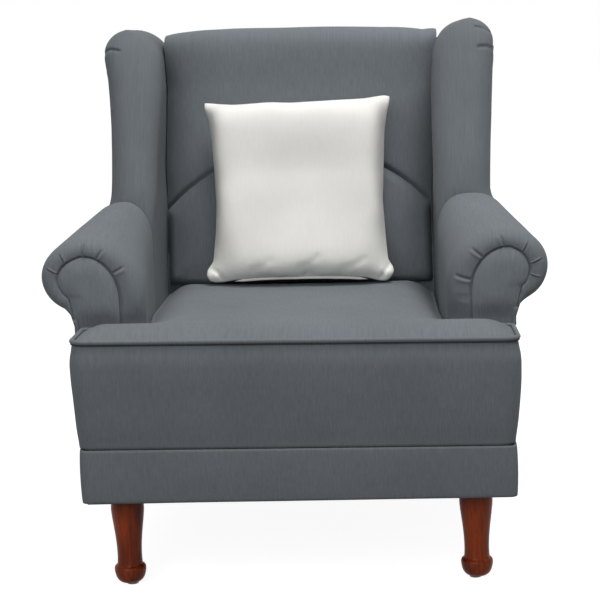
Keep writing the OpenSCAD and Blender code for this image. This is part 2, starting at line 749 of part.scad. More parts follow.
// Outline of the wing at a height, set in by t
function wing_outline(z, t) =
    let (a = wing_in(z) + t, b = wing_out(z) - t, f = wing_front(z) + t, g = wing_rear(z) - t,
        r = max(wing_round(z) - t, wing_low_corner_r / 3), q = wing_rear_corner_r)
    concat(
        [[(a + b) / 2, f]],
        arc([b - r, f + r], r, -90, 0, 4), between([b, f + r], [b, g - q], 3),
        arc([b - q, g - q], q, 0, 90, 2), arc([a + q, g - q], q, 90, 180, 2),
        between([a, g - q], [a, f + r], 3), arc([a + r, f + r], r, 180, 270, 4));

function wing_rings(t, angles) =
    let (z = wing_shoulder, base = wing_outline(z, t), middle = (wing_front(z) + wing_rear(z)) / 2,
        half = (wing_rear(z) - wing_front(z)) / 2)
    concat(
        [raised(wing_outline(deck_h, t), deck_h)],
        [for (h = wing_levels) raised(wing_outline(h, t), h)],
        [for (a = angles) let (squeeze = 1 - wing_dome_r * (1 - cos(a)) / half)
            [for (p = base) [wing_peak_x + (p[0] - wing_peak_x) * cos(a), middle + (p[1] - middle) * squeeze,
                z + (wing_dome - t) * sin(a)]]]);
function wing_tip(t) = [wing_peak_x, (wing_front(wing_shoulder) + wing_rear(wing_shoulder)) / 2,
    wing_shoulder + wing_dome - t];

module right_wing_cover() {
    angles = [0, 25, 50, 72];
    color(cloth_colour)
        cup(wing_rings(0, angles), wing_tip(0), wing_rings(cloth_t, angles), wing_tip(cloth_t));
}

module left_wing_cover() left_one() right_wing_cover();

module right_wing_padding() {
    angles = [0, 50];
    color(foam_colour)
        cup(wing_rings(cloth_t + gap, angles), wing_tip(cloth_t + 3 * gap),
            wing_rings(cloth_t + padding_t, angles), wing_tip(cloth_t + padding_t));
}

module left_wing_padding() left_one() right_wing_padding();

module right_wing_frame() {
    margin = cloth_t + padding_t + gap + wing_corner_r / 4;
    top = wing_shoulder - 2 * gap;
    front_shares = [0, 0.25, 0.5, 0.75, 0.92];
    round_x = wing_corner_r;
    edge = concat(
        [for (s = front_shares) let (z = mix(wing_blend_low, top, s)) [wing_front(z) + margin, z]],
        [[wing_front(top) + margin + round_x / 3, top - round_x / 8], [wing_front(top) + margin + round_x, top]],
        [[wing_rear(top) - margin, top], [wing_rear(band_top) - margin, band_top],
            [seat_rear_rail_y - board_t, band_top], [seat_rear_rail_y - board_t, deck_h],
            [wing_front_y + margin, deck_h]]);
    color(frame_colour)
        translate([wing_board_x, 0, 0])
            rotate([90, 0, 90])
                linear_extrude(board_t - 2 * gap)
                    polygon(edge);
}

module left_wing_frame() left_one() right_wing_frame();

module right_outside_wing() {
    depth_shares = [0, 0.5, 1];
    heights = concat([wing_shoulder - wing_dome / 5],
        [for (i = [len(wing_levels) - 1 : -1 : 0]) if (wing_levels[i] > wing_blend_low + cloth_t) wing_levels[i]],
        [wing_blend_low + 2 * gap]);
    function row(s, t) = [for (z = heights)
        [wing_out(z) + gap + wing_side_t - t,
            mix(wing_front(z) + wing_round(z) + gap, wing_rear(z) - wing_rear_corner_r, s), z]];
    color(cloth_colour)
        sheet([for (s = depth_shares) row(s, 0)], [for (s = depth_shares) row(s, wing_side_t)]);
}

module left_outside_wing() left_one() right_outside_wing();

// Back

// The back leans from the seat up, and is upright below it
function back_in(z) = max(0, z - seat_edge_h) * tan(back_rake);
function back_half(z) = wing_in(z) - 3 * gap;
function swell(u) = 1 - pow(u, 4);
function back_face_y(x, z) = back_foot_y + back_in(z) - back_swell * swell(x / back_half(z));

// Path of the back cover from its rear seam over the top and down the front,
// with a tight roll behind and a wide one in front
back_seam = back_corner_h - back_drop;
back_rear_seam = back_corner_h - back_rear_drop;
back_levels = concat(
    [for (i = [len(wing_levels) - 1 : -1 : 0]) let (z = wing_levels[i]) if (z < back_seam && z > seat_edge_h) z],
    [seat_edge_h, deck_h]);
function back_section(u, t) =
    let (top = back_corner_h + back_rise * swell(u) - t, x = u * (back_half(back_seam) - t),
        front = back_face_y(x, back_seam) + t, rear = wing_rear(back_rear_seam) - t,
        mid = (front + rear) / 2, half = (rear - front) / 2)
    concat(
        [for (a = [0 : 30 : 180]) let (z = mix(a < 90 ? back_rear_seam : back_seam, top, sin(a)))
            [u * (back_half(z) - t), mid + half * cos(a), z]],
        [for (z = back_levels) let (w = u * (back_half(z) - t)) [w, back_face_y(w, z) + t, z]]);
across_shares = [-1, -0.97, -0.88, -0.65, -0.33, 0, 0.33, 0.65, 0.88, 0.97, 1];

module inside_back_cover() {
    color(cloth_colour)
        sheet([for (u = across_shares) back_section(u, 0)], [for (u = across_shares) back_section(u, cloth_t)]);
}

post_top = back_corner_h - back_drop / 2;
function post_y(z) = back_foot_y + post_back + (z - seat_edge_h) * tan(back_rake);

module right_back_post() {
    function section(z) = let (x = post_x, y = post_y(z))
        [[x, y, z], [x + post_w, y, z], [x + post_w, y + post_d, z], [x, y + post_d, z]];
    function middle(z) = (section(z)[0] + section(z)[2]) / 2;
    foot = seat_rail_top;
    color(frame_colour) loft([section(foot), section(post_top)], middle(foot), middle(post_top));
}

module left_back_post() left_one() right_back_post();

// A rail from side to side with the posts' lean, from one depth to another behind their fronts
module leaning_rail(z, x, from, to) {
    function end(x) = [[x, post_y(z) + from, z], [x, post_y(z) + to, z],
        [x, post_y(z + back_rail_h) + to, z + back_rail_h], [x, post_y(z + back_rail_h) + from, z + back_rail_h]];
    function middle(x) = (end(x)[0] + end(x)[2]) / 2;
    color(frame_colour) loft([end(-x), end(x)], middle(-x), middle(x));
}

module back_top_rail() leaning_rail(post_top - back_rail_h, post_x, 0, post_d);
module back_lower_rail() leaning_rail(seat_edge_h, post_x, 0, post_d);
module rear_top_rail() leaning_rail(post_top - 2 * back_rail_h, post_x + post_w, post_d, post_d + base_rail_t);

// A strap across the posts' front faces, with the same lean
module back_strap(z) {
    function face(x) = let (y0 = post_y(z) - gap - webbing_t, y1 = post_y(z + webbing_w) - gap - webbing_t)
        [[x, y0, z], [x, y0 + webbing_t, z], [x, y1 + webbing_t, z + webbing_w], [x, y1, z + webbing_w]];
    function middle(x) = (face(x)[0] + face(x)[2]) / 2;
    x = post_x + post_w * 0.8;
    loft([face(-x), face(x)], middle(-x), middle(x));
}

module back_webbing() {
    straps = 6;
    low = seat_edge_h + back_rail_h / 4;
    pitch = (post_top - back_rail_h - low) / straps;
    color(web_colour)
        for (i = [0 : straps])
            back_strap(low + i * pitch);
}

module back_foam() {
    inset = cloth_t + gap;
    levels = concat([back_seam], back_levels);
    function face(u) = [for (z = levels) let (w = u * (back_half(z) - inset)) [w, back_face_y(w, z) + inset, z]];
    function rear(u) = [for (z = levels) [u * (back_half(z) - inset), post_y(z) - 2 * gap - 2 * webbing_t, z]];
    color(foam_colour)
        sheet([for (u = across_shares) face(u)], [for (u = across_shares) rear(u)]);
}

// The lumbar panel, seen from the front as an arch
function lumbar_outline(inset) =
    let (r = lumbar_r - inset, hub = lumbar_h - lumbar_r, x = back_half(lumbar_foot) - gap * 8 - inset,
        foot = lumbar_foot + inset, a = acos(min(1, x / r)), spring = hub + r * sin(a))
    concat(
        [for (u = lumbar_foot_shares) [u * x, foot]],
        [[x, foot], [x, mix(foot, spring, 0.5)]],
        [for (i = [0 : 12]) let (b = mix(a, 180 - a, i / 12)) [r * cos(b), hub + r * sin(b)]],
        [[-x, mix(foot, spring, 0.5)]]);
lumbar_foot_shares = [-1, -0.9, -0.65, -0.3, 0.3, 0.65, 0.9];
lumbar_base_shares = [0.4, 0.75, 0.93];
lumbar_ring_shares = [1, 1, 0.97, 0.9, 0.7, 0.35];
lumbar_depth_shares = [0, 0.3, 0.62, 0.84, 0.97, 1];
function lumbar_ring(t, share, depth) =
    [for (p = lumbar_outline(t)) let (q = [0, lumbar_centre_h] + (p - [0, lumbar_centre_h]) * share)
        [q[0], back_face_y(q[0], q[1]) - lumbar_gap - (lumbar_t - t - lumbar_gap) * depth, q[1]]];
function lumbar_rings(t) = [for (i = [0 : len(lumbar_ring_shares) - 1])
    lumbar_ring(t, lumbar_ring_shares[i], lumbar_depth_shares[i])];
function lumbar_tip(t) = [0, back_face_y(0, lumbar_centre_h) - lumbar_t + t, lumbar_centre_h];

module lumbar_cover() {
    color(cloth_colour) cup(lumbar_rings(0), lumbar_tip(0), lumbar_rings(cloth_t), lumbar_tip(cloth_t));
}

module lumbar_foam() {
    t = cloth_t + gap;
    color(foam_colour)
        loft(concat([for (share = lumbar_base_shares) lumbar_ring(t, share, 0)], lumbar_rings(t)),
            [0, back_face_y(0, lumbar_centre_h) - lumbar_gap, lumbar_centre_h], lumbar_tip(t));
}

module outside_back_panel() {
    height_shares = [0, 0.2, 0.42, 0.56, 0.75, 0.9, 0.97, 1];
    panel_across_shares = [-1, -0.95, -0.6, -0.2, 0.2, 0.6, 0.95, 1];
    corner_shares = [0, 0, 0, 0, 0, 0, 0.012, 0.045];
    function half(i, z) = (z < wing_blend_low ? side_face_x(z) : wing_out(z) + wing_side_t)
        * (1 - corner_shares[i]) - cloth_t;
    function row(u, t) = [for (i = [0 : len(height_shares) - 1])
        let (z = mix(band_top + 2 * gap, wing_shoulder + wing_dome / 4, height_shares[i]))
            [u * half(i, z), rear_face_y(z) + (t == 0 ? rear_swell * swell(u) : -rear_panel_t + gap), z]];
    color(cloth_colour)
        sheet([for (u = panel_across_shares) row(u, 0)], [for (u = panel_across_shares) row(u, 1)]);
}

// Scatter cushion, drawn upright and then leant back. Its cover opens at the zip in the bottom seam.

cushion_level_shares = [0.03, 0.12, 0.28, 0.5, 0.72, 0.88, 0.96];
cushion_points = 28;

// One level ring, at a share v of the height, set in by t
function cushion_ring(v, t) =
    let (w = cushion_w / 2 - cushion_pull * sin(180 * v) - t,
        plump = pow(sin(180 * v), 0.55), edge = cushion_t / 26,
        front = max(cushion_t * cushion_front_share * plump, edge) - t,
        rear = max(cushion_t * (1 - cushion_front_share) * plump, edge) - t)
    [for (i = [0 : cushion_points - 1]) let (a = 360 * i / cushion_points, c = cos(a), s = sin(a),
        x = w * sign(c) * pow(abs(c), 0.8))
        [x, (s < 0 ? front : rear) * sign(s) * pow(abs(s), 1.25),
            mix(t, cushion_h - t, v) + cushion_ear * (2 * v - 1) * pow(abs(x) / w, 3) - cushion_ear]];

module cushion_place() {
    translate([0, cushion_y, seat_edge_h + cushion_seat_gap + cushion_ear + cloth_t])
        rotate([-cushion_lean, 0, 0])
            children();
}

module scatter_cushion_cover() {
    zip_ring = [for (p = cushion_ring(0, cloth_t / 2)) [p[0] * zip_share, p[1] / 2, p[2]]];
    zip_rim = [for (p = zip_ring) [p[0], p[1] / 2, p[2]]];
    outer = concat([zip_ring], [for (v = cushion_level_shares) cushion_ring(v, 0)]);
    inner = concat([zip_rim], [for (v = cushion_level_shares) cushion_ring(v, cloth_t / 2)]);
    color(cushion_colour)
        cushion_place()
            cup(outer, [0, 0, cushion_h - 2 * cushion_ear], inner, [0, 0, cushion_h - 2 * cushion_ear - cloth_t]);
}

module scatter_cushion_filling() {
    t = cloth_t / 2 + gap;
    filling_level_shares = [0.12, 0.28, 0.5, 0.72, 0.88];
    rings = [for (v = filling_level_shares) cushion_ring(v, t)];
    color(foam_colour)
        cushion_place()
            loft(rings, [0, 0, cushion_h * filling_level_shares[0] - cushion_ear],
                [0, 0, cushion_h * filling_level_shares[4] - cushion_ear]);
}

front_left_leg();
front_right_leg();
rear_left_leg();
rear_right_leg();
foot_glides();
hanger_bolts();
leg_t_nuts();
leg_blocks();
base_front_rail();
base_rear_rail();
base_left_rail();
base_right_rail();
base_band_cover();
dust_cover();
seat_front_rail();
seat_rear_rail();
seat_left_rail();
seat_right_rail();
seat_webbing();
seat_foam();
seat_cover();
seat_piping();
left_arm_front_board();
right_arm_front_board();
left_arm_rear_board();
right_arm_rear_board();
left_arm_rail();
right_arm_rail();
left_arm_padding();
right_arm_padding();
left_arm_cover();
right_arm_cover();
left_arm_facing();
right_arm_facing();
left_outside_arm();
right_outside_arm();
left_back_post();
right_back_post();
back_top_rail();
back_lower_rail();
rear_top_rail();
left_wing_frame();
right_wing_frame();
left_wing_padding();
right_wing_padding();
left_wing_cover();
right_wing_cover();
left_outside_wing();
right_outside_wing();
back_webbing();
back_foam();
inside_back_cover();
lumbar_foam();
lumbar_cover();
outside_back_panel();
frame_dowels();
scatter_cushion_cover();
scatter_cushion_filling();
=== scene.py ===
"""Fireside chair: its cloth, padding, wood and light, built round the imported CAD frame.

Sizes are in millimetres, in the frame of the CAD, and become metres where a mesh is made. The sitter faces
-Y, +Z is up, and left and right are as seen from the front.
"""

import json
import math

import bpy
import numpy as np
from mathutils import Matrix, Vector


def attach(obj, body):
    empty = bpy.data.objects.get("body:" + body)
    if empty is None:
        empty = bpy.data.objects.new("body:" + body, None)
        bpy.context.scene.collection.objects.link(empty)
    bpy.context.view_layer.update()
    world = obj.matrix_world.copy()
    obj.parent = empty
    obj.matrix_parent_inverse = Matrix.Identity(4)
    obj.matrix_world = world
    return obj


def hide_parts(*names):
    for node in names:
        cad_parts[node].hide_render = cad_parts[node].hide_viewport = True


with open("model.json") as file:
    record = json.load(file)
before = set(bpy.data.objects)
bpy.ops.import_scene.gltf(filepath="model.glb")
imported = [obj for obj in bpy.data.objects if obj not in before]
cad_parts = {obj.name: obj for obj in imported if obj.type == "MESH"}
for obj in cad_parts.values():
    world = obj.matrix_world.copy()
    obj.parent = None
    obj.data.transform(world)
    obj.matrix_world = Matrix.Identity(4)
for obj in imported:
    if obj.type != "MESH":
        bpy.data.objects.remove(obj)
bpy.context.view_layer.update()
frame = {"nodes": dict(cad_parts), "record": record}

MM = 0.001

# Sizes that the cloth shares with the CAD model
leg_h = 161
glide_t = 4
band_top = 252
deck_h = 342
seat_edge_h = 436
front_y = -420
seat_d = 566
seat_front_y = -416
shoulder_y = -282.6
back_foot_y = 146
arm_front_y = -278
wing_front_y = -53
seat_w = 756
stem_x = 264.4
piping_r = 4
cloth_t = 4
gap = 0.6
arm_rear_y = wing_front_y - gap

# How far the soft parts of this chair have settled up or down, at some heights, on each side
settle_levels = (161, 320, 440, 520, 640, 900)
seat_lifts = {"left": (3, 9, 9, 4, 2, 0), "right": (-1, -3, -3, 3, 2, 0)}
arm_lifts = {"left": (3, 6, 1, 5, 5, 0), "right": (-1, -3, -1, 3, 2, 0)}

# How far the padding round the sitter has moved over to the left, at some heights, and where it lies
shift_levels = (440, 620, 700, 780, 850, 900, 940)
inside_shifts = {"left": (12, 12, 9, 3, -2, -1, 0), "right": (6, 6.5, 7, 9, 10, 7, 0)}
inside_x_zone = (285, 60)
inside_y_zone = (-290, 200)

smoothing_reach = 12
cord_sides = 12


def mix(a, b, t):
    return a + (b - a) * t


def unit(t):
    return np.clip(t, 0.0, 1.0)


def ease(t):
    u = unit(t)
    return u * u * (3 - 2 * u)


def within(at, zone):
    """How far a place is through a zone, from 0 to 1. A zone is given as its start and its width."""
    return ease((at - zone[0]) / zone[1])


def domed(distance, width):
    """How far padding has risen at a distance from its edge, from 0 to 1."""
    return 1 - (1 - unit(distance / width)) ** 2


def smooth_interp(at, places, values):
    """A smooth curve through values at places, for one place."""
    spread = np.linspace(-1, 1, 9) * smoothing_reach
    return float(np.mean(np.interp(at + spread, places, values)))


def rows_of(*values):
    """Rows of coordinates, each given for every row or once for all."""
    return np.stack(np.broadcast_arrays(*values), axis=-1)


def line(start, end, count):
    """Points from start to end, without the end."""
    steps = np.arange(count) / count
    return np.array(start, float) + np.outer(steps, np.subtract(end, start))


def arc(centre, radius, start, end, count):
    """Points on an arc, both ends among them, with its angles in degrees."""
    angles = np.radians(np.linspace(start, end, count + 1))
    return centre + radius * rows_of(np.cos(angles), np.sin(angles))


def at_height(outline, z):
    """The points of an outline seen from above, at one height or at a height each."""
    return np.column_stack([outline, np.broadcast_to(z, len(outline))])


def settled(points, lifts=seat_lifts):
    """Lifts the soft parts on one side and lets them down on the other, as they sit on the real chair."""
    x, y, z = np.moveaxis(points, -1, 0)
    left, right = (np.interp(z, settle_levels, lifts[side]) for side in ("left", "right"))
    over_left, over_right = (np.interp(z, shift_levels, inside_shifts[side]) for side in ("left", "right"))
    inside = (1 - within(np.abs(x), inside_x_zone)) * within(y, inside_y_zone)
    moved = points.copy()
    moved[..., 2] = z + mix(left, right, unit(x / seat_w + 0.5))
    moved[..., 0] = x - mix(over_left, over_right, unit(x / (2 * stem_x) + 0.5)) * inside
    return moved


def mirrored(points, side):
    """Points drawn for the right side, for the side named."""
    turned = np.array(points, float)
    if side == "left":
        turned[..., 0] = -turned[..., 0]
    return turned


def relaxed(rows, times):
    """Eases the kinks out between neighbouring rows, with the first and the last row held."""
    rows = rows.copy()
    for _ in range(times):
        rows[1:-1] += (rows[:-2] + rows[2:] - 2 * rows[1:-1]) / 4
    return rows


def grid_faces(rows, cols, closed):
    faces = []
    for i in range(rows - 1):
        for j in range(cols if closed else cols - 1):
            k = (j + 1) % cols
            faces.append((i * cols + j, i * cols + k, (i + 1) * cols + k, (i + 1) * cols + j))
    return faces


def tube_faces(rings, sides):
    """The faces of a tube of rings with both its ends closed."""
    ends = [tuple(range(sides))[::-1], tuple((rings - 1) * sides + j for j in range(sides))]
    return grid_faces(rings, sides, True) + ends


def linked(name, data):
    """A new object in the scene."""
    made = bpy.data.objects.new(name, data)
    bpy.context.scene.collection.objects.link(made)
    return made


def make(name, points, faces):
    mesh = bpy.data.meshes.new(name)
    mesh.from_pydata([tuple(p) for p in points.reshape(-1, 3) * MM], [], faces)
    mesh.polygons.foreach_set("use_smooth", [True] * len(mesh.polygons))
    mesh.update()
    return linked(name, mesh)


def turn_outward(piece, inside):
    """Turns the faces away from a point inside the piece."""
    mesh = piece.data
    away = sum((p.center - Vector(inside) * MM).dot(p.normal) * p.area for p in mesh.polygons)
    if away < 0:
        mesh.flip_normals()


def thicken(piece, thickness):
    """Gives cloth its thickness, inward from the face that shows."""
    solid = piece.modifiers.new("thickness", "SOLIDIFY")
    solid.thickness = thickness * MM
    solid.offset = -1


def upholster(name, rows, inside, nodes, ripples=None, side=None, closed=False, tip=None,
              thickness=cloth_t, lifts=seat_lifts, material=None):
    """A piece of upholstery cloth from rows of points, which stands for CAD nodes.

    Where a side is given, the rows are drawn for the right one and all names are without the side.
    """
    if side:
        name, *nodes = (side + "_" + word for word in (name, *nodes))
    rows = np.asarray(rows, float)
    count, cols = rows.shape[:2]
    faces = grid_faces(count, cols, closed)
    points = rows.reshape(-1, 3)
    if tip is not None:
        last = (count - 1) * cols
        faces += [(last + j, last + (j + 1) % cols, len(points)) for j in range(cols)]
        points = np.vstack([points, tip])
    made = make(name, settled(mirrored(points, side), lifts), faces)
    turn_outward(made, mirrored(inside, side))
    thicken(made, thickness)
    if ripples:
        ripple(made, *ripples)
    dress(made, nodes, material=material)


def tube(name, path, radius, tall=1, lifts=seat_lifts):
    """A cord covered in cloth that follows a path, with its ends closed. It may be taller than it is wide."""
    radius = np.broadcast_to(radius, len(path))[:, None, None]
    along = np.gradient(path, axis=0)
    along /= np.linalg.norm(along, axis=1)[:, None]
    side = np.cross(along, (0.0, 0.0, 1.0))
    side /= np.linalg.norm(side, axis=1)[:, None]
    over = np.cross(side, along)
    angles = np.linspace(0, 2 * math.pi, cord_sides, endpoint=False)[:, None]
    rings = path[:, None] + radius * (side[:, None] * np.cos(angles) + over[:, None] * tall * np.sin(angles))
    points = rings.reshape(-1, 3)
    return make(name, settled(points, lifts) if lifts else points, tube_faces(len(path), cord_sides))


def ripple(piece, strength, scale):
    """Lets the surface wander a little, as hand-drawn cloth over padding does."""
    texture = bpy.data.textures.new(piece.name + "_ripple", "CLOUDS")
    texture.noise_scale = scale * MM
    texture.noise_depth = 1
    wander = piece.modifiers.new("ripple", "DISPLACE")
    wander.texture = texture
    wander.texture_coords = "LOCAL"
    wander.strength = strength * MM
    wander.mid_level = 0.5
    piece.modifiers.move(len(piece.modifiers) - 1, 0)


# Materials

# Streaks of the yarn across and along the threads, to the metre, and their part in the tone and the relief
fine_yarn = (760, 95, 1)
broad_yarn = (330, 34, 1)
fine_share = 0.55
streak_spread = 0.2
weave_share = 0.35
cloud_scale = 7.0
# How far a face is turned to the side where its threads change from running back to running down
side_turns = (0.62, 0.8)
slate_tones = ((0.112, 0.126, 0.138), (0.148, 0.165, 0.179))


def shader_tree(name):
    material = bpy.data.materials.new(name)
    material.use_nodes = True
    tree = material.node_tree
    return material, tree, tree.nodes["Principled BSDF"]


def add(tree, kind, values=(), **settings):
    """A shader node with its settings and, in order, the values or links of its inputs."""
    made = tree.nodes.new("ShaderNode" + kind)
    for key, value in settings.items():
        setattr(made, key, value)
    for i, value in enumerate(values):
        if isinstance(value, bpy.types.NodeSocket):
            tree.links.new(value, made.inputs[i])
        elif value is not None:
            made.inputs[i].default_value = value
    return made


def set_inputs(node, values):
    for key, value in values.items():
        node.inputs[key].default_value = value


def math_node(tree, operation, *values):
    return add(tree, "Math", values, operation=operation).outputs[0]


def vector_node(tree, operation, *values):
    return add(tree, "VectorMath", values, operation=operation).outputs[0]


def ranged(tree, value, *limits):
    """A value that runs between two limits, as a share or between the two limits that follow."""
    return add(tree, "MapRange", [value, *limits]).outputs[0]


def summed(tree, first, second, share):
    """The first value's share of the whole with the rest from the second."""
    return math_node(tree, "MULTIPLY_ADD", first, share, math_node(tree, "MULTIPLY", second, 1 - share))


def parts(tree, vector):
    return add(tree, "SeparateXYZ", [vector]).outputs


def joined(tree, *values):
    return add(tree, "CombineXYZ", values).outputs[0]


def object_place(tree):
    return add(tree, "TexCoord").outputs["Object"]


def noise(tree, vector, scale=1.0, detail=2.0):
    made = add(tree, "TexNoise", [vector])
    set_inputs(made, {"Scale": scale, "Detail": detail})
    return made.outputs[0]


def stretched(tree, vector, scale):
    return add(tree, "Mapping", [vector, None, None, scale]).outputs[0]


def blended(tree, amount, dark, pale):
    """A colour that runs from dark to pale with the amount."""
    made = add(tree, "Mix", data_type="RGBA")
    tree.links.new(amount, made.inputs[0])
    made.inputs[6].default_value = (*dark, 1)
    made.inputs[7].default_value = (*pale, 1)
    return made.outputs[2]


def finish(tree, shader, colour, inputs, relief=None, strength=0, depth=0):
    """Gives a shader its colour, its plain values and its relief."""
    tree.links.new(colour, shader.inputs["Base Color"])
    set_inputs(shader, inputs)
    if relief is not None:
        bump = add(tree, "Bump")
        set_inputs(bump, {"Strength": strength, "Distance": depth * MM})
        tree.links.new(relief, bump.inputs["Height"])
        tree.links.new(bump.outputs[0], shader.inputs["Normal"])


def thread_places(tree):
    """Places across and along the threads, which run down the upright faces and back over the tops."""
    place = object_place(tree)
    x, y, z = parts(tree, place)
    normal = add(tree, "NewGeometry").outputs["Normal"]
    sideways = ranged(tree, math_node(tree, "ABSOLUTE", parts(tree, normal)[0]), *side_turns)
    mixed = add(tree, "Mix", data_type="VECTOR")
    front = joined(tree, x, math_node(tree, "SUBTRACT", z, y))
    for socket, value in ((0, sideways), (4, front), (5, joined(tree, y, z))):
        tree.links.new(value, mixed.inputs[socket])
    return mixed.outputs[1], place


def woven_cloth(name, dark, pale, streak_share=1.0, thread=0.9):
    """Cloth of uneven yarn: fine streaks along the threads, a plain weave in relief and a soft sheen."""
    material, tree, shader = shader_tree(name)
    threads, place = thread_places(tree)
    fine = noise(tree, stretched(tree, threads, fine_yarn))
    broad = noise(tree, stretched(tree, threads, broad_yarn), detail=1.0)
    streaks = summed(tree, fine, broad, fine_share)
    spread = streak_spread / streak_share
    colour = blended(tree, ranged(tree, streaks, 0.5 - spread, 0.5 + spread), dark, pale)
    fade = ranged(tree, noise(tree, place, cloud_scale), 0.3, 0.7, 0.95, 1.05)
    weave_scale = 2 * math.pi / (thread * MM)
    over, under = parts(tree, stretched(tree, threads, (weave_scale,) * 3))[:2]
    weave = math_node(tree, "MULTIPLY", math_node(tree, "SINE", over), math_node(tree, "SINE", under))
    relief = math_node(tree, "MULTIPLY_ADD", weave, weave_share, streaks)
    inputs = {"Roughness": 0.82, "Sheen Weight": 0.05, "Sheen Roughness": 0.45, "Specular IOR Level": 0.25}
    faded = vector_node(tree, "MULTIPLY", colour, fade)
    finish(tree, shader, faded, inputs, relief, strength=0.5, depth=0.35)
    return material


def lacquered_wood(name, dark, pale):
    """Stained wood with its grain along the leg, under a clear gloss lacquer."""
    material, tree, shader = shader_tree(name)
    place = object_place(tree)
    wander = math_node(tree, "MULTIPLY", noise(tree, stretched(tree, place, (9, 9, 3))), 0.02)
    bent = vector_node(tree, "ADD", place, joined(tree, wander, wander, wander))
    grain = noise(tree, stretched(tree, bent, (170, 170, 9)), detail=4.0)
    pores = noise(tree, stretched(tree, bent, (900, 900, 60)))
    figure = noise(tree, stretched(tree, place, (26, 26, 12)), detail=1.0)
    colour = blended(tree, ranged(tree, summed(tree, grain, figure, 0.5), 0.36, 0.64), dark, pale)
    pored = vector_node(tree, "MULTIPLY", colour, ranged(tree, pores, 0.3, 0.45, 0.7, 1.0))
    inputs = {"Roughness": 0.45, "Specular IOR Level": 0.06, "Coat Weight": 0.13, "Coat Roughness": 0.14}
    finish(tree, shader, pored, inputs, grain, strength=0.15, depth=0.2)
    return material


def raw_wood(name, dark, pale):
    """Planed softwood and plywood of the hidden frame."""
    material, tree, shader = shader_tree(name)
    grain = noise(tree, stretched(tree, object_place(tree), (8, 60, 60)), detail=4.0)
    finish(tree, shader, blended(tree, ranged(tree, grain, 0.35, 0.65), dark, pale), {"Roughness": 0.7})
    return material


def speckled(name, dark, pale, scale, roughness, metallic=0.0):
    """A plain finish with a fine uneven tone, for lining, webbing, foam, plastic and steel."""
    material, tree, shader = shader_tree(name)
    tone = noise(tree, object_place(tree), scale, 3.0)
    colour = blended(tree, ranged(tree, tone, 0.35, 0.65), dark, pale)
    inputs = {"Roughness": roughness, "Metallic": metallic}
    finish(tree, shader, colour, inputs, tone, strength=0.3, depth=0.2)
    return material


def slate(name, share=1.0):
    """The chair's slate-grey cloth, or a darker or paler copy of it, which paints shade or light on the
    pieces it is given to.
    """
    return woven_cloth(name, *[[tone * share for tone in tones] for tones in slate_tones])


# The wings' cloth is a darker copy of the slate cloth: painted shade on the wings.
wing_painted_shade_cloth = slate("slate_cloth_painted_shade", 0.83)
# The arm facings' cloth is a paler copy of the slate cloth: painted light on the facings.
facing_painted_light_cloth = slate("slate_cloth_painted_light", 1.18)
# A nearly black copy of the cloth for the stitched seam under the piping, which also paints the shadow under
# the cord.
stitch_and_shadow_cloth = slate("slate_cloth_stitch_and_shadow", 0.2)
finishes = {
    "woven_cloth": slate("slate_cloth"),
    "cushion_cloth": woven_cloth("cushion_cloth", (0.77, 0.76, 0.72), (0.85, 0.84, 0.805), 0.6, 0.6),
    "turned_wood": lacquered_wood("leg_wood", (0.09, 0.010, 0.002), (0.29, 0.044, 0.006)),
    "frame_wood": raw_wood("frame_wood", (0.5, 0.33, 0.17), (0.68, 0.5, 0.3)),
    "padding": speckled("padding", (0.8, 0.7, 0.4), (0.88, 0.8, 0.5), 400, 0.9),
    "webbing": speckled("webbing", (0.02, 0.02, 0.022), (0.05, 0.05, 0.053), 600, 0.8),
    "black_lining": speckled("black_lining", (0.012, 0.012, 0.012), (0.03, 0.03, 0.03), 900, 0.85),
    "glide_plastic": speckled("glide_plastic", (0.2, 0.16, 0.12), (0.28, 0.23, 0.18), 200, 0.4),
    "plated_steel": speckled("plated_steel", (0.5, 0.5, 0.51), (0.62, 0.62, 0.63), 300, 0.3, 1.0),
}


def finish_nodes():
    """Gives each CAD node the finish that the record names for it."""
    slots = {part["node"]: part["material_slot"] for part in frame["record"]["subparts"]}
    for name, node in frame["nodes"].items():
        for slot in node.material_slots:
            slot.material = finishes[slots[name]]


def dress(piece, nodes, slot="woven_cloth", material=None, body="chair"):
    """Gives a piece its finish and its body, and hides the CAD nodes it stands for."""
    piece.data.materials.append(material or finishes[slot])
    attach(piece, body)
    if nodes:
        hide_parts(*nodes)


# Shape of the back, which the seat meets

wing_blend_low = 601
arm_rear_h = 644
wing_shoulder = 923
arm_inner_x = 265
wing_inner_low_x = 260
wing_inner_high_x = 271
wing_recess = 9
recess_zone = (wing_blend_low, 60)
back_play = 0.9
back_lean = 13
back_hollow = 28


def blend_share(z):
    """How far a height is on the way from the side panel to the wing above the arm."""
    return within(z, (wing_blend_low, arm_rear_h - wing_blend_low))


def wing_share(z):
    """How far a height is on the way from the top of the arm to the shoulder of the wing."""
    return unit((z - arm_rear_h) / (wing_shoulder - arm_rear_h))


def wing_in(z):
    low = mix(arm_inner_x, wing_inner_low_x, blend_share(z))
    high = mix(wing_inner_low_x, wing_inner_high_x, wing_share(z))
    return np.where(z < arm_rear_h, low, high)


def back_half(z):
    return wing_in(z) - back_play


def back_face_y(x, z):
    lean = np.maximum(0, z - seat_edge_h) * math.tan(math.radians(back_lean))
    return back_foot_y + lean - back_hollow * (1 - (x / back_half(z)) ** 4)


def recessed(z, depth):
    """How far something goes in behind the rolled front of a wing."""
    return depth * within(z, recess_zone)


# Seat

seat_corner_r = 26
shoulder_r = 6
crease_r = 3
panel_heights = (252, 285, 321, 362, 402, 418, 426)
panel_tucks = (5.2, 0.9, -1.8, -4.7, -5.5, -2.5, 0)
panel_drift = 1.8
drift_share = 0.6
seat_round = 8
seat_crown = 20
seat_rake = 13
seat_fall = 64
seat_centre = (0, (seat_front_y + shoulder_y) / 2)


def seat_rear(x, inset):
    return back_face_y(x, seat_edge_h) - gap - inset


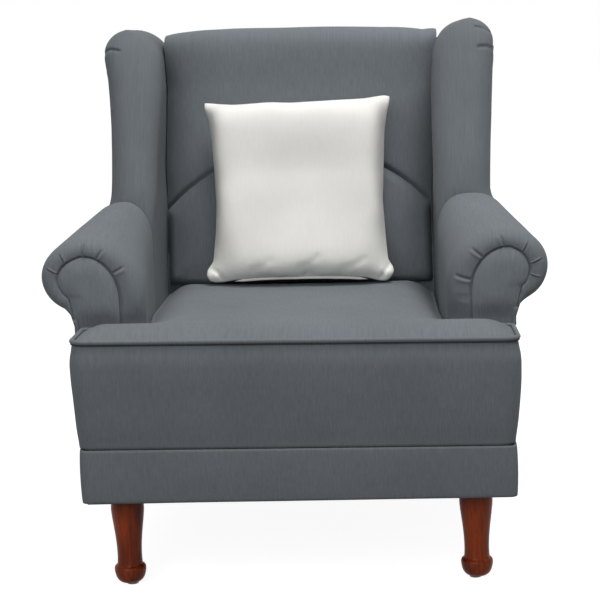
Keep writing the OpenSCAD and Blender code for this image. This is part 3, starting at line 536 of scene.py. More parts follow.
def seat_ring(inset, tuck):
    """T shaped outline of the seat, set in from its edge, with its front and sides tucked in further."""
    ear = seat_w / 2 - inset - tuck
    stem = stem_x - inset
    front = seat_front_y + inset + tuck
    shoulder = shoulder_y - inset
    r = seat_corner_r - (inset + tuck) / 2
    rear_x = np.linspace(stem, 0, 41)[1:-1]
    half = np.vstack([
        line([0, front], [ear - r, front], 56)[1:],
        arc([ear - r, front + r], r, -90, 0, 16),
        line([ear, front + r], [ear, shoulder - shoulder_r], 16)[1:],
        arc([ear - shoulder_r, shoulder - shoulder_r], shoulder_r, 0, 90, 6),
        line([ear - shoulder_r, shoulder], [stem + crease_r, shoulder], 16)[1:],
        arc([stem + crease_r, shoulder + crease_r], crease_r, 270, 180, 4),
        line([stem, shoulder + crease_r], [stem, seat_rear(stem, inset)], 48)[1:],
        [[stem, seat_rear(stem, inset)]],
        rows_of(rear_x, seat_rear(rear_x, inset))])
    return np.vstack([[[0, front]], half, [[0, seat_rear(0, inset)]], half[::-1] * [-1, 1]])


def edge_distance(points, ring):
    """Distance of each point from a closed outline."""
    step = np.roll(ring, -1, axis=0) - ring
    to_point = points[:, None] - ring[None]
    share = np.sum(to_point * step, axis=2) / np.maximum(np.sum(step * step, axis=1), 1e-9)
    near = to_point - unit(share)[..., None] * step
    return np.sqrt(np.min(np.sum(near * near, axis=2), axis=1))


def seat_rings():
    """Rings up the sides of the seat, over its edge and on to its middle."""
    rings = []
    side_top = seat_edge_h - seat_round
    for s in np.linspace(0, 1, 40):
        ring = seat_ring(0, smooth_interp(mix(band_top, side_top, s), panel_heights, panel_tucks))
        ring[:, 0] -= panel_drift * (1 - ease(s / drift_share))
        low = np.where(ring[:, 1] < shoulder_y - crease_r, band_top + gap, deck_h)
        rings.append(at_height(ring, mix(low, side_top, s)))
    for a in np.radians(np.linspace(10, 90, 9)):
        ring = seat_ring(seat_round * (1 - math.cos(a)), 0)
        rings.append(at_height(ring, seat_edge_h - seat_round * (1 - math.sin(a))))
    edge = seat_ring(seat_round, 0)
    for share in np.concatenate([np.linspace(0.99, 0.8, 14), np.linspace(0.77, 0.03, 30)]):
        flat = seat_centre + (edge - seat_centre) * share
        crown = seat_crown + seat_rake * (flat[:, 1] - front_y) / seat_d
        rings.append(at_height(flat, seat_edge_h + crown * domed(edge_distance(flat, edge), seat_fall)))
    return rings


def build_seat():
    rings = seat_rings()
    tip = (*seat_centre, rings[-1][:, 2].mean())
    upholster("seat_upholstery", rings, (0, -200, 400), ["seat_cover", "seat_foam"], (1.6, 110),
              closed=True, tip=tip)


# Piping round the front of the seat, and the dark stitches under it, a tube that also paints the shadow under
# the cord

piping_out = 0.15
piping_lift = 0.3
piping_ear_x = 300
piping_end_x = 318
stitch_and_shadow_r = 1.3
stitch_and_shadow_drop = 4.2


def round_front(ring, end, height):
    """The seat's outline round its front, from one end of the piping to the other."""
    return at_height(np.vstack([ring[-end:], ring[:end + 1]]), height)


def build_piping():
    ring = seat_ring(-piping_out, 0)
    end = min(i for i, (x, y) in enumerate(ring) if y > shoulder_y - 1 and x > piping_ear_x)
    while ring[end, 0] > piping_end_x:
        end += 1
    piping = tube("seat_piping_cord", round_front(ring, end, seat_edge_h + piping_lift), piping_r)
    dress(piping, ["seat_piping"])
    under = round_front(seat_ring(-stitch_and_shadow_r, 0), end, seat_edge_h - stitch_and_shadow_drop)
    # The dark tube stands for the stitched seam and is painted shadow under the piping cord.
    dress(tube("seat_piping_stitches_and_shadow", under, stitch_and_shadow_r), [], material=stitch_and_shadow_cloth)


# Base band

base_w = 740
base_front_y = -410
base_rear_y = 374
base_tuck = 2
base_swell = 4.5
base_boxy = 0.6
base_corner_r = 12


def base_ring(inset):
    x = base_w / 2 - inset
    front = base_front_y + inset
    rear = base_rear_y - inset
    r = base_corner_r - inset
    return np.vstack([
        line([-x + r, front], [x - r, front], 60), arc([x - r, front + r], r, -90, 0, 8)[:-1],
        line([x, front + r], [x, rear - r], 60), arc([x - r, rear - r], r, 0, 90, 8)[:-1],
        line([x - r, rear], [-x + r, rear], 60), arc([-x + r, rear - r], r, 90, 180, 8)[:-1],
        line([-x, rear - r], [-x, front + r], 60), arc([-x + r, front + r], r, 180, 270, 8)[:-1]])


def build_base_band():
    rings = []
    for s in np.linspace(0, 1, 22):
        ring = base_ring(base_tuck * (1 - math.sin(math.pi * s) ** base_boxy) - base_swell)
        rings.append(at_height(ring, mix(leg_h, band_top - gap, s)))
    upholster("base_band_upholstery", rings, (0, 0, 200), ["base_band_cover"], (1.0, 120), closed=True)


# Arms, drawn for the right one. Pairs of sizes are for the front of the arm and for its end at the wing

arm_nose = 26
arm_spreads = {"left": 7.5, "right": 0}
arm_middles = (520, 580)
roll_xs = (373, 328)
roll_tops = (594, 644)
roll_rs = (75, 65)
roll_over = 65
roll_rises = (105, 72)
roll_powers = (1, 0.75)
roll_ends = (-60, -8)
neck_x = 385.5
neck_drops = (79, 30)
neck_spreads = {"left": 3, "right": -5}
neck_spread_share = 0.6
neck_bends = {"left": (13, 20), "right": (4, 12)}
neck_turn = 10
neck_hem = 16
neck_play = 1.2
arm_unders = {"left": 0, "right": 4.8}
# How far the facing's seam lies in from the roll's own outline: inside, on top, outside and underneath
facing_insets = {"left": (22, 25.5, 37, 29), "right": (21, 26, 39.5, 31)}
inset_angles = (-60, -18, 22, 90)
inset_blend = 12
facing_puff = 5
facing_lean = 6.5
lean_zone = (460, 120)
lean_depth_zone = (arm_front_y, 90)
puff_zone = (445, 30)
# Where the nose of the arm is drawn in at the facing's seam and swells beyond it
seam_depth = 3.5
seam_turn = 7
nose_puff = 5
nose_puff_zone = (455, 40)
nose_puff_end = -70
# Angle and strength of each pleat, and the shape of all: the fold, the ridge beside it and how far they reach
pleats = {
    "left": [(20, 1.0), (54, 1.0), (90, 1.4), (112, 1.1), (142, 1.0)],
    "right": [(-22, 0.9), (16, 1.0), (56, 1.0), (97, 1.2), (130, 1.2), (163, 1.2), (184, 0.8)],
}
pleat_depth = 3.4
pleat_w = 1.3
ridge_share = 0.4
ridge_off = 3.4
ridge_w = 2.0
pleat_turn = 10
pleat_reach = 15
pleat_fade = 12
hem_margin = 3
hem_depth = 4.6
end_cap_depth = 0.4


def along_arm(y):
    return unit((y - arm_front_y) / (wing_front_y - arm_front_y))


def leaned_back(y, z):
    """Lets the arm's front stand out a little above the seat and lean back toward its top."""
    lean = facing_lean * unit((z - lean_zone[0]) / lean_zone[1]) - facing_puff * within(z, puff_zone)
    return y + lean * (1 - within(y, lean_depth_zone))


def neck_spread(y, side):
    return neck_spreads[side] * (1 - ease(along_arm(y) / neck_spread_share))


def arm_neck_z(s):
    """Height of the neck under the roll, at a share of the arm's length."""
    return mix(*roll_tops, s) - roll_over - mix(*neck_drops, s)


def arm_section(y, tight, side, margin=0):
    """Section of the arm at a depth y, drawn in toward its facing's seam, and the angle of each point."""
    s = along_arm(y)
    spread = arm_spreads[side]
    nose_in, nose, nose_out, nose_low = (tight * (inset + margin) for inset in facing_insets[side])
    x, top, rise, last = (mix(*pair, s) for pair in (roll_xs, roll_tops, roll_rises, roll_ends))
    r = mix(roll_rs[0] + spread, roll_rs[1] + spread / 2, s)
    inner, low, hub = arm_inner_x + 2 * nose_in, top - rise, top - roll_over
    foot_z = np.linspace(deck_h, low, 26)[:-1]
    rise_a = np.linspace(180, 90, 82)
    roll_a = np.linspace(90, last, 137)[1:]
    rise_r, roll_r = np.radians(rise_a), np.radians(roll_a)
    insets = (nose_low, nose_out, nose_out, nose)
    wander = np.linspace(-inset_blend, inset_blend, 9)[:, None]
    drawn_in = np.interp(roll_a + wander, inset_angles, insets).mean(axis=0)
    drawn_in = mix(nose, drawn_in, ease((90 - roll_a) / inset_blend))
    under = np.maximum(drawn_in, arm_unders[side] * (1 - s) * ease(roll_a / roll_ends[0]))
    shoulder = -np.abs(np.cos(rise_r)) ** mix(*roll_powers, s)
    roll = rows_of(x + (r - under) * np.cos(roll_r), hub + (roll_over - under) * np.sin(roll_r))
    neck = np.array([neck_x + neck_spread(y, side), arm_neck_z(s)])
    bend = mix(neck + neck_bends[side], (roll[-1] + neck) / 2, unit(tight * 1.25))
    below = np.linspace(0, 1, 15)[1:, None]
    hem = np.linspace(0, 1, 6)[1:, None]
    section = np.vstack([
        rows_of(inner, foot_z),
        rows_of(x + (x - inner) * shoulder, low + (rise - nose) * np.sin(rise_r)),
        roll,
        mix(mix(roll[-1], bend, below), mix(bend, neck, below), below),
        neck - hem * [0, neck_hem]])
    angles = [180 + np.degrees((low - foot_z) / r), rise_a, roll_a, last - neck_turn * below[:, 0],
              last - neck_turn - neck_turn * hem[:, 0]]
    return section[:, 0], section[:, 1], np.concatenate(angles)


def arm_row(turn, depth, side):
    """One row of the arm's cloth, at a turn round its nose or at a share of its length behind it."""
    a = math.radians(turn)
    y = mix(arm_front_y + arm_nose * (1 - math.cos(a)), arm_rear_y, depth)
    x, z, angles = arm_section(max(y, arm_front_y), 1 - math.sin(a), side)
    puff = nose_puff * math.sin(2 * a) * within(z, nose_puff_zone) * (angles > nose_puff_end)
    row = rows_of(x, y - puff + seam_depth * (1 - ease(turn / seam_turn)), z)
    out = row - [mix(*roll_xs, along_arm(y)), 0, mix(*arm_middles, along_arm(y))]
    out[:, 1] = 0
    out /= np.linalg.norm(out, axis=1)[:, None]
    reach = (y - arm_front_y) + facing_insets[side][1] * math.sin(a)
    for angle, strength in pleats[side]:
        off = angles - angle
        fold = np.exp(-(off / pleat_w) ** 2) - ridge_share * np.exp(-((off - ridge_off) / ridge_w) ** 2)
        fade = 1 - ease((reach - pleat_reach * strength) / (pleat_fade * strength))
        pressed = pleat_depth * strength * fold * ease(turn / pleat_turn) * fade
        row -= out * (pressed * math.sin(a))[:, None]
        row[:, 1] += pressed * math.cos(a)
    row[:, 1] = leaned_back(row[:, 1], row[:, 2])
    return row


def arm_rows(side):
    """Rows from the hem under the facing, round the nose, back to the wing and in over the rear end."""
    x, z, _ = arm_section(arm_front_y, 1, side, margin=hem_margin)
    hem = rows_of(x, leaned_back(arm_front_y + hem_depth, z), z)
    nose_turns = np.concatenate([np.linspace(0, 9, 8), np.linspace(9, 90, 24)[1:]])
    rows = [arm_row(turn, 0, side) for turn in nose_turns]
    rows += [arm_row(90, depth, side) for depth in np.linspace(0, 1, 49)[1:]]
    middle = np.array([roll_xs[1], arm_rear_y, arm_middles[1]])
    cap = [mix(middle, rows[-1], share) + [0, end_cap_depth, 0] for share in np.linspace(0.99, 0.35, 9)]
    return [hem] + rows + cap


def build_arm(side):
    upholster("arm_upholstery", arm_rows(side), (350, -160, 520), ["arm_cover", "arm_padding"],
              (1.4, 90), side, lifts=arm_lifts)


# Facings and outside panels, drawn for the right one

facing_margin = 0.8
facing_inner_x = 336.3
facing_round_from = 500
facing_back = 1.5
facing_crown = 7
facing_fall = 34
facing_crown_zone = (440, 50)
facing_t = 3
side_x = 384
side_tuck = 18
side_rise = 150
neck_zone = (410, 40)
rear_top_y = 417
rear_slope = 40
rear_play = 5.3
panel_front = 4.3
panel_foot = band_top - 2
panel_hem = 8
panel_tuck = 2.5
panel_to_seat = 7.5
panel_seat_zone = (424, 10)


def side_face_x(z):
    return side_x - side_tuck * (1 - np.sin(np.radians(90) * unit((z - band_top) / side_rise)))


def arm_side_x(y, z, side):
    return side_face_x(z) + neck_spread(y, side) * within(z, neck_zone)


def rear_face_y(z):
    return rear_top_y - rear_slope * (1 - unit((z - band_top) / (wing_shoulder - band_top)))


def wing_rear(z):
    return rear_face_y(z) - rear_play


def build_facing(side):
    edge_x, edge_z, _ = arm_section(arm_front_y, 1, side, margin=facing_margin)
    peak = int(np.argmax(edge_z))
    top = edge_z[peak]
    round_top = np.sin(np.radians(np.linspace(0, 90, 40)))
    levels = np.concatenate([np.linspace(band_top + gap, deck_h, 16)[:-1],
                             np.linspace(deck_h, facing_round_from, 40)[:-1],
                             mix(facing_round_from, top, round_top)])
    rows = []
    across = np.sin(np.linspace(-1, 1, 41) * math.pi / 2)
    for z in levels:
        inner, outer = facing_inner_x, arm_side_x(arm_front_y, z, side)
        if z >= deck_h:
            inner = np.interp(z, edge_z[:peak + 1], edge_x[:peak + 1])
        if z > edge_z[-1]:
            outer = np.interp(z, edge_z[:peak - 1:-1], edge_x[:peak - 1:-1])
        middle, half = (inner + outer) / 2, max((outer - inner) / 2, 0.02)
        x = middle + half * across
        edge = np.minimum(half - np.abs(x - middle), max(top - z, 0) + 0.01)
        crown = facing_crown * domed(edge, facing_fall) * within(z, facing_crown_zone)
        rows.append(rows_of(x, leaned_back(arm_front_y + facing_back - crown, z), z))
    # The facing gets the paler copy of the cloth, which paints light on it.
    upholster("arm_facing_panel", rows, (360, 0, 480), ["arm_facing"], None, side,
              thickness=facing_t, lifts=arm_lifts, material=facing_painted_light_cloth)


def build_outside_arm(side):
    shares = np.linspace(1, 0, 40)
    rows = []
    for s in np.linspace(0, 1, 30):
        y = mix(arm_front_y + panel_front, arm_rear_y, s)
        neck_z = arm_neck_z(along_arm(y)) - neck_play
        z = mix(panel_foot, neck_z + panel_hem, shares)
        tuck = panel_tuck * ease((z - neck_z + neck_hem + panel_hem) / panel_hem)
        to_seat = panel_to_seat * (1 - within(z, panel_seat_zone)) * (1 - s)
        rows.append(rows_of(arm_side_x(y, z, side) - tuck, y - to_seat, z))
    z = mix(panel_foot, wing_blend_low, shares)
    for s in np.linspace(0, 1, 40):
        rows.append(rows_of(side_face_x(z), mix(wing_front_y + gap, wing_rear(z), s), z))
    upholster("outside_arm_panel", rows, (0, 0, 400), ["outside_arm"], (1.5, 140), side,
              thickness=facing_t, lifts=arm_lifts)


# Wings, drawn for the right one

wing_dome = 47
wing_dome_r = 34
wing_peak_x = 340
wing_lean = 0.6
wing_outer_low_x = 361
wing_outer_high_x = 387
wing_outer_power = 1.6
wing_set_back = 158
wing_front_power = 1.1
wing_rounds = (6, 44)
wing_rear_r = 12
wing_droops = {"left": 10, "right": 3}
wing_droop_zone = (880, 70)
wing_inner_fall = 40
wing_trim_levels = (601, 644, 700, 780, 834, 873, 923, 960)
wing_trims = {"left": (0, 0.5, 2, 4.5, 5.2, 5.2, 0.5, 0), "right": (0, -2, -3, -3, -1.5, 0, -1, 0)}
wing_pleats = {
    "left": [[(384, 918), (376, 928), (366, 932), (347, 929)]],
    "right": [[(348, 952), (365, 948), (380, 938)], [(351, 914), (368, 914), (385, 906)]],
}
wing_pleat_depth = 6
wing_pleat_w = 2.4
wing_pleat_rear_y = 200
outside_wing_play = 3.3
outside_wing_top = wing_shoulder - 9
outside_wing_t = 2.6
outside_wing_proud = 2.8
outside_wing_edge = 0.5
outside_wing_fall = 30
outside_wing_power = 1.5


def wing_out(z, side):
    low = mix(side_face_x(z) - cloth_t, wing_outer_low_x, blend_share(z))
    high = mix(wing_outer_low_x, wing_outer_high_x, wing_share(z) ** wing_outer_power)
    trim = np.interp(z, wing_trim_levels, wing_trims[side])
    return np.where(z < arm_rear_h, low, high) - outside_wing_play - trim


def wing_front(z):
    return wing_front_y + wing_set_back * wing_share(z) ** wing_front_power


def wing_round(z):
    return mix(*wing_rounds, blend_share(z))


def wing_ring(z, side):
    """Outline of the wing at a height, whose inner side goes in behind its rolled front."""
    inner, outer, front, rear = wing_in(z), wing_out(z, side), wing_front(z), wing_rear(z)
    r, q = wing_round(z), wing_rear_r
    recess = recessed(z, wing_recess)
    hidden = inner + recess
    inner_y = np.linspace(rear - q, front + r, 37)[:-1]
    inner_line = rows_of(inner + recess * ease((inner_y - front - r) / wing_inner_fall), inner_y)
    middle = [(inner + outer) / 2, front]
    return np.vstack([
        line(middle, [outer - r, front], 5), arc([outer - r, front + r], r, -90, 0, 22)[:-1],
        line([outer, front + r], [outer, rear - q], 36), arc([outer - q, rear - q], q, 0, 90, 5)[:-1],
        line([outer - q, rear], [hidden + q, rear], 14), arc([hidden + q, rear - q], q, 90, 180, 5)[:-1],
        inner_line, arc([inner + r, front + r], r, 180, 270, 22)[:-1],
        line([inner + r, front], middle, 5)])


def creased(points, path, depth, width, before_y):
    """Presses a fold into the front of a piece along a path seen from the front."""
    flat = points[..., [0, 2]].reshape(-1, 2)
    best = np.full(len(flat), np.inf)
    for start, end in zip(path[:-1], path[1:]):
        step = np.subtract(end, start)
        share = unit((flat - start) @ step / (step @ step))
        best = np.minimum(best, np.linalg.norm(flat - start - share[:, None] * step, axis=1))
    near = np.exp(-(best / width) ** 2).reshape(points.shape[:-1])
    moved = points.copy()
    moved[..., 1] += depth * near * (points[..., 1] < before_y)
    return moved


def build_wing(side):
    levels = np.concatenate([np.linspace(deck_h, wing_blend_low, 24)[:-1],
                             np.linspace(wing_blend_low, wing_shoulder, 90)])
    rings = [at_height(wing_ring(z, side), z) for z in levels]
    base = rings[-1]
    front, rear = wing_front(wing_shoulder), wing_rear(wing_shoulder)
    middle, half = (front + rear) / 2, (rear - front) / 2
    for a in np.radians(np.linspace(3, 87, 29)):
        squeeze = 1 - wing_dome_r * (1 - math.cos(a)) / half
        rise = wing_dome * math.sin(a)
        x = mix(wing_peak_x, base[:, 0], math.cos(a))
        forward = unit((rear - base[:, 1]) / (rear - front))
        y = mix(middle, base[:, 1], squeeze) + wing_lean * rise * forward
        rings.append(rows_of(x, y, wing_shoulder + rise))
    rings = relaxed(np.array(rings), 40)
    inward = unit((wing_peak_x - rings[..., 0]) / (wing_peak_x - wing_in(wing_shoulder)))
    rings[..., 2] -= wing_droops[side] * ease(inward) * within(rings[..., 2], wing_droop_zone)
    for path in wing_pleats[side]:
        rings = creased(rings, path, wing_pleat_depth, wing_pleat_w, wing_pleat_rear_y)
    # The wing gets the darker copy of the cloth, which paints shade on it.
    upholster("wing_upholstery", rings, (320, 200, 700), ["wing_cover", "wing_padding"], (2.0, 90),
              side, closed=True, tip=rings[-1].mean(axis=0), material=wing_painted_shade_cloth)


def build_outside_wing(side):
    rows = []
    z = np.linspace(outside_wing_top, wing_blend_low + gap, 90)
    for s in np.linspace(0, 1, 40) ** outside_wing_power:
        y = mix(wing_front(z) + wing_round(z) + gap / 2, wing_rear(z) - wing_rear_r, s)
        swell = ease((outside_wing_top - z) / outside_wing_fall) * ease(s / 0.05)
        proud = outside_wing_edge + outside_wing_proud * swell
        rows.append(rows_of(wing_out(z, side) + proud, y, z))
    upholster("outside_wing_panel", rows, (0, 200, 700), ["outside_wing"], None, side,
              thickness=outside_wing_t)


# Back, with its lumbar panel below an arched seam

back_corner_h = 944
back_seam = 872
back_rear_seam = 916
back_crown = 16
back_shoulder_rise = 3
back_side_dip = 16
back_dip_zone = (560, 60)
back_top_places = (-1, -0.85, -0.6, -0.3, 0, 0.6, 0.9, 0.97, 1)
back_top_lifts = (14, 11, 8, 7.5, 6.5, 1.5, 3, 9, 10)
top_boxy = 0.85
front_boxy = 0.5
groove_depth = 8
groove_w = 6
groove_low = 514
groove_rear_y = 300
outside_back_corner_share = 0.045
outside_back_corner_zone = (0.95, 0.05)
outside_back_swell = 3
lumbar_r = 345
lumbar_top = 724
lumbar_foot = 454
lumbar_centre = (0, 563)
lumbar_side_play = 2.4
lumbar_rise = 33
lumbar_edge_w = 17
lumbar_fall = 110
lumbar_edge_share = 0.68


def lumbar_ring():
    hub = lumbar_top - lumbar_r
    x = back_half(lumbar_foot) - lumbar_side_play
    a = math.degrees(math.acos(x / lumbar_r))
    spring = hub + lumbar_r * math.sin(math.radians(a))
    return np.vstack([
        line([-x, lumbar_foot], [x, lumbar_foot], 50), line([x, lumbar_foot], [x, spring], 18),
        arc([0, hub], lumbar_r, a, 180 - a, 80), line([-x, spring], [-x, lumbar_foot], 18)[1:]])


def build_inside_back():
    columns = []
    for u in np.sin(np.linspace(-math.pi / 2, math.pi / 2, 161)):
        lift = back_shoulder_rise * (u * u - u ** 8) + np.interp(u, back_top_places, back_top_lifts)
        top = back_corner_h + back_crown * (1 - u ** 4) + lift
        dip = back_side_dip * u ** 12
        front = back_face_y(u * back_half(back_seam), back_seam) + dip
        rear = wing_rear(back_rear_seam)
        profile = []
        for a in np.radians(np.linspace(0, 180, 61)):
            low, boxy = (back_rear_seam, top_boxy) if a < math.pi / 2 else (back_seam, front_boxy)
            deep = math.copysign(abs(math.cos(a)) ** boxy, math.pi / 2 - a)
            y = (front + rear) / 2 + (rear - front) / 2 * deep
            profile.append((y, mix(low, top, math.sin(a) ** boxy)))
        for z in np.linspace(back_seam, deck_h, 150)[1:]:
            profile.append((back_face_y(u * back_half(z), z) + dip * within(z, back_dip_zone), z))
        y, z = np.array(profile).T
        columns.append(rows_of(u * (back_half(z) + recessed(z, wing_recess - 1)), y, z))
    rows = relaxed(np.array(columns).swapaxes(0, 1), 60).swapaxes(0, 1)
    x, y, z = np.moveaxis(rows, -1, 0)
    away = edge_distance(rows_of(x, z).reshape(-1, 2), lumbar_ring()).reshape(x.shape)
    upper = (y < groove_rear_y) & (z > groove_low) & (z < back_seam)
    rows[..., 1] += groove_depth * np.exp(-(away / groove_w) ** 2) * upper
    upholster("inside_back_upholstery", rows, (0, 330, 700), ["inside_back_cover", "back_foam"],
              (2.2, 120))


def build_lumbar():
    edge = lumbar_ring()
    rings = []
    for share in np.concatenate([np.linspace(1, 0.9, 30), np.linspace(0.89, 0.03, 40)]):
        x, z = (lumbar_centre + (edge - lumbar_centre) * share).T
        away = edge_distance(rows_of(x, z), edge)
        swell = mix(domed(away, lumbar_fall), np.sqrt(domed(away, lumbar_edge_w)), lumbar_edge_share)
        y = back_face_y(x, z) + groove_depth - (lumbar_rise + groove_depth) * swell
        rings.append(rows_of(x, y, z))
    tip = (0, rings[-1][:, 1].mean(), lumbar_centre[1])
    upholster("lumbar_upholstery", rings, (0, 300, 563), ["lumbar_cover", "lumbar_foam"], (2.0, 90),
              closed=True, tip=tip)


def build_outside_back():
    share = np.linspace(0, 1, 80)
    z = mix(band_top + gap, wing_shoulder + wing_dome / 4, share)
    corner = outside_back_corner_share * within(share, outside_back_corner_zone)
    wide = np.where(z < wing_blend_low, side_face_x(z), wing_out(z, "right") + facing_t)
    half = wide * (1 - corner) - cloth_t
    rows = [rows_of(u * half, rear_face_y(z) + outside_back_swell * (1 - u ** 4), z)
            for u in np.linspace(-1, 1, 60)]
    upholster("outside_back_cloth", rows, (0, 0, 600), ["outside_back_panel"], (1.2, 160))


# Dust cover and legs

lining_cells = 48
lining_x = 363
lining_front = -403
lining_rear = 367
lining_sag = 3
lining_t = 1.2
lining_leg_reach = 40
leg_places = {"front_left_leg": (-301.7, -341.7), "front_right_leg": (301.7, -341.7),
              "rear_left_leg": (-301.7, 305.7), "rear_right_leg": (301.7, 305.7)}
leg_splay = 3
leg_profile = [
    (16.0, 0), (19.0, 1.6), (22.6, 5.2), (25.2, 10), (26.8, 15.5), (27.6, 20.0), (27.9, 23.6), (27.4, 27.0),
    (25.6, 29.6), (23.4, 31.2), (22.2, 34), (21.8, 39), (21.5, 46), (21.6, 56), (22.3, 70), (23.8, 86),
    (25.8, 102), (27.7, 117), (28.8, 128), (29.0, 135), (28.4, 143), (27.0, 150), (25.4, 155.5), (25, 157)]


def build_dust_cover():
    """The black lining tacked under the base, cut round the legs' blocks. It sags between its rails."""
    share = np.linspace(0, 1, lining_cells + 1)
    across, along = np.meshgrid(2 * share - 1, share)
    sag = lining_sag * (1 - across ** 2) * (1 - (2 * along - 1) ** 2)
    points = rows_of(lining_x * across, mix(lining_front, lining_rear, along), leg_h + gap - sag)
    flat = points.reshape(-1, 3)[:, :2]
    faces = []
    for face in grid_faces(lining_cells + 1, lining_cells + 1, False):
        middle = flat[list(face)].mean(axis=0)
        if all(np.abs(middle - place).max() > lining_leg_reach for place in leg_places.values()):
            faces.append(face)
    lining = make("dust_cover_lining", points, faces)
    thicken(lining, lining_t)
    dress(lining, ["dust_cover"], slot="black_lining")


def smooth_profile(points, steps):
    """A smooth curve through the profile's points."""
    points = np.array(points, float)
    ends = np.vstack([points[:1], points, points[-1:]])
    out = []
    for before, start, end, after in zip(ends, ends[1:], ends[2:], ends[3:]):
        for t in np.arange(steps) / steps:
            square = 2 * before - 5 * start + 4 * end - after
            cube = 3 * start - before - 3 * end + after
            out.append(0.5 * (2 * start + (end - before) * t + square * t ** 2 + cube * t ** 3))
    return out + [points[-1]]


def build_leg(name, place):
    turns = np.linspace(0, 2 * math.pi, 72, endpoint=False)
    circle = rows_of(np.cos(turns), np.sin(turns))
    centre = (place[0] + math.copysign(leg_splay, place[0]), place[1])
    rings = [at_height(centre + r * circle, glide_t + z) for r, z in smooth_profile(leg_profile, 4)]
    leg = make(name + "_turned", np.array(rings), tube_faces(len(rings), len(turns)))
    dress(leg, [name], slot="turned_wood")


# Scatter cushion

cushion_side = 392
cushion_cells = 72
cushion_bulge = 20
cushion_lean = 15
cushion_origin = (-4, 58, 469.5)
# Shape of the seam: how far out its sides are at some shares of its height, and how high its top and bottom
# are at some shares of its width
side_shares = (0, 0.035, 0.07, 0.11, 0.28, 0.43, 0.62, 0.8, 0.9, 0.965, 1)
left_reach = (176, 185, 183, 171, 166, 164, 167.5, 172, 177.5, 187, 186)
right_reach = (172, 183, 181, 171, 166.7, 163.5, 167, 170.5, 176.5, 183, 184)
edge_shares = (0, 0.04, 0.09, 0.17, 0.28, 0.42, 0.65, 0.78, 0.87, 0.93, 0.97, 1)
top_heights = (365, 364, 361, 357.5, 356.5, 357, 358.5, 361, 363.5, 367.5, 369.5, 366)
bottom_heights = (4, 1, 2, 5, 7, 7.5, 6.5, 4.5, 2, -3, -5, 0)
# Path, depth and width of each fold at the bottom, and the place of each ear
cushion_folds = [
    ([(-174, 29), (-162, 21), (-149, 5)], 5.5, 3.2), ([(-180, 16), (-168, 11)], 2.5, 2.6),
    ([(175, 31), (168, 20), (157, 3)], 5.5, 3.2), ([(180, 12), (169, 7)], 2.5, 2.6),
    ([(-58, 36), (-72, 25), (-92, 19)], 2.0, 7.0), ([(34, 40), (19, 27), (0, 20)], 2.0, 7.0),
    ([(124, 36), (105, 24), (80, 16)], 2.0, 7.0)]
fold_kept_share = 0.12
smooth_times = 50
cushion_ears = [(-174, 13), (174, 11)]
ear_w = 14
ear_h = 11
ear_depth = 9
ear_rear_share = 0.4
# How far the front and the rear stand from the seam, the depths over which they flatten, and the low part's
# place further forward
cushion_front = 84
cushion_rear = 30
front_flats = (52, 27)
rear_flat = 26
low_zone = (0, 150)
high_zone = (200, 120)
low_thin_share = 0.38
low_forwards = (20, 36)
low_side_x = 178
low_side_fall = 70
top_held_share = 0.85
flap_shares = (0.14, 0.88)
flap_h = 5
flap_r = 1.6
flap_forward = 2.5


cushion_shares = np.linspace(0, 1, cushion_cells + 1)


def cushion_sheets():
    """A front and a rear sheet of cloth, sewn at their edges, with the numbers of both sheets' points."""
    across, up = np.meshgrid(cushion_shares, cushion_shares)
    x, z = cushion_side * (across - 0.5), cushion_side * (up - 0.5)
    swell = cushion_bulge * (1 - (2 * across - 1) ** 4) * (1 - (2 * up - 1) ** 4)
    number = np.arange(x.size).reshape(x.shape)
    rear_number = number.copy()
    inner = rear_number[1:-1, 1:-1]
    inner[:] = number.size + np.arange(inner.size).reshape(inner.shape)
    front = rows_of(x, -swell, z)
    rear = rows_of(x, swell, z)
    points = np.vstack([front.reshape(-1, 3), rear[1:-1, 1:-1].reshape(-1, 3)])
    faces = []
    for numbers, step in ((number, 1), (rear_number, -1)):
        corners = [numbers[:-1, :-1], numbers[:-1, 1:], numbers[1:, 1:], numbers[1:, :-1]]
        faces += [tuple(int(n) for n in quad)[::step] for quad in np.stack(corners, axis=-1).reshape(-1, 4)]
    return points, faces, number, rear_number


def blow_up(piece, pressure, frames):
    """Blows the sewn sheets up from inside, so that they fill out and wrinkle at their seams."""
    scene = bpy.context.scene
    bpy.context.view_layer.objects.active = piece
    piece.select_set(True)
    cloth = piece.modifiers.new("cloth", "CLOTH")
    settings = cloth.settings
    settings.quality = 6
    settings.mass = 0.15
    settings.air_damping = 2
    settings.tension_stiffness = settings.compression_stiffness = 25
    settings.shear_stiffness = 8
    settings.bending_stiffness = 0.6
    settings.use_pressure = True
    settings.uniform_pressure_force = pressure
    settings.effector_weights.gravity = 0
    for number in range(1, frames + 1):
        scene.frame_set(number)
    bpy.ops.object.modifier_apply(modifier=cloth.name)
    scene.frame_set(1)


def seam_target():
    """Where the seam's points belong on the four edges, as rows of x and z."""
    share = cushion_shares
    sides = []
    for sign, reach, end in ((-1, left_reach, 0), (1, right_reach, -1)):
        heights = mix(bottom_heights[end], top_heights[end], share)
        sides.append(rows_of(sign * np.interp(share, side_shares, reach), heights))
    left, right = sides
    ends = []
    for row, heights in ((0, bottom_heights), (-1, top_heights)):
        x = mix(left[row, 0], right[row, 0], share)
        ends.append(rows_of(x, np.interp(share, edge_shares, heights)))
    return left, right, *ends


def filled_between(left, right, bottom, top):
    """Values over the whole sheet that run smoothly between those on its four edges."""
    across, up = cushion_shares[:, None], cushion_shares[:, None, None]
    sides = mix(left[:, None], right[:, None], across)
    ends = mix(bottom[None], top[None], up)
    corners = mix(mix(left[0], right[0], across), mix(left[-1], right[-1], across), up)
    return sides + ends - corners


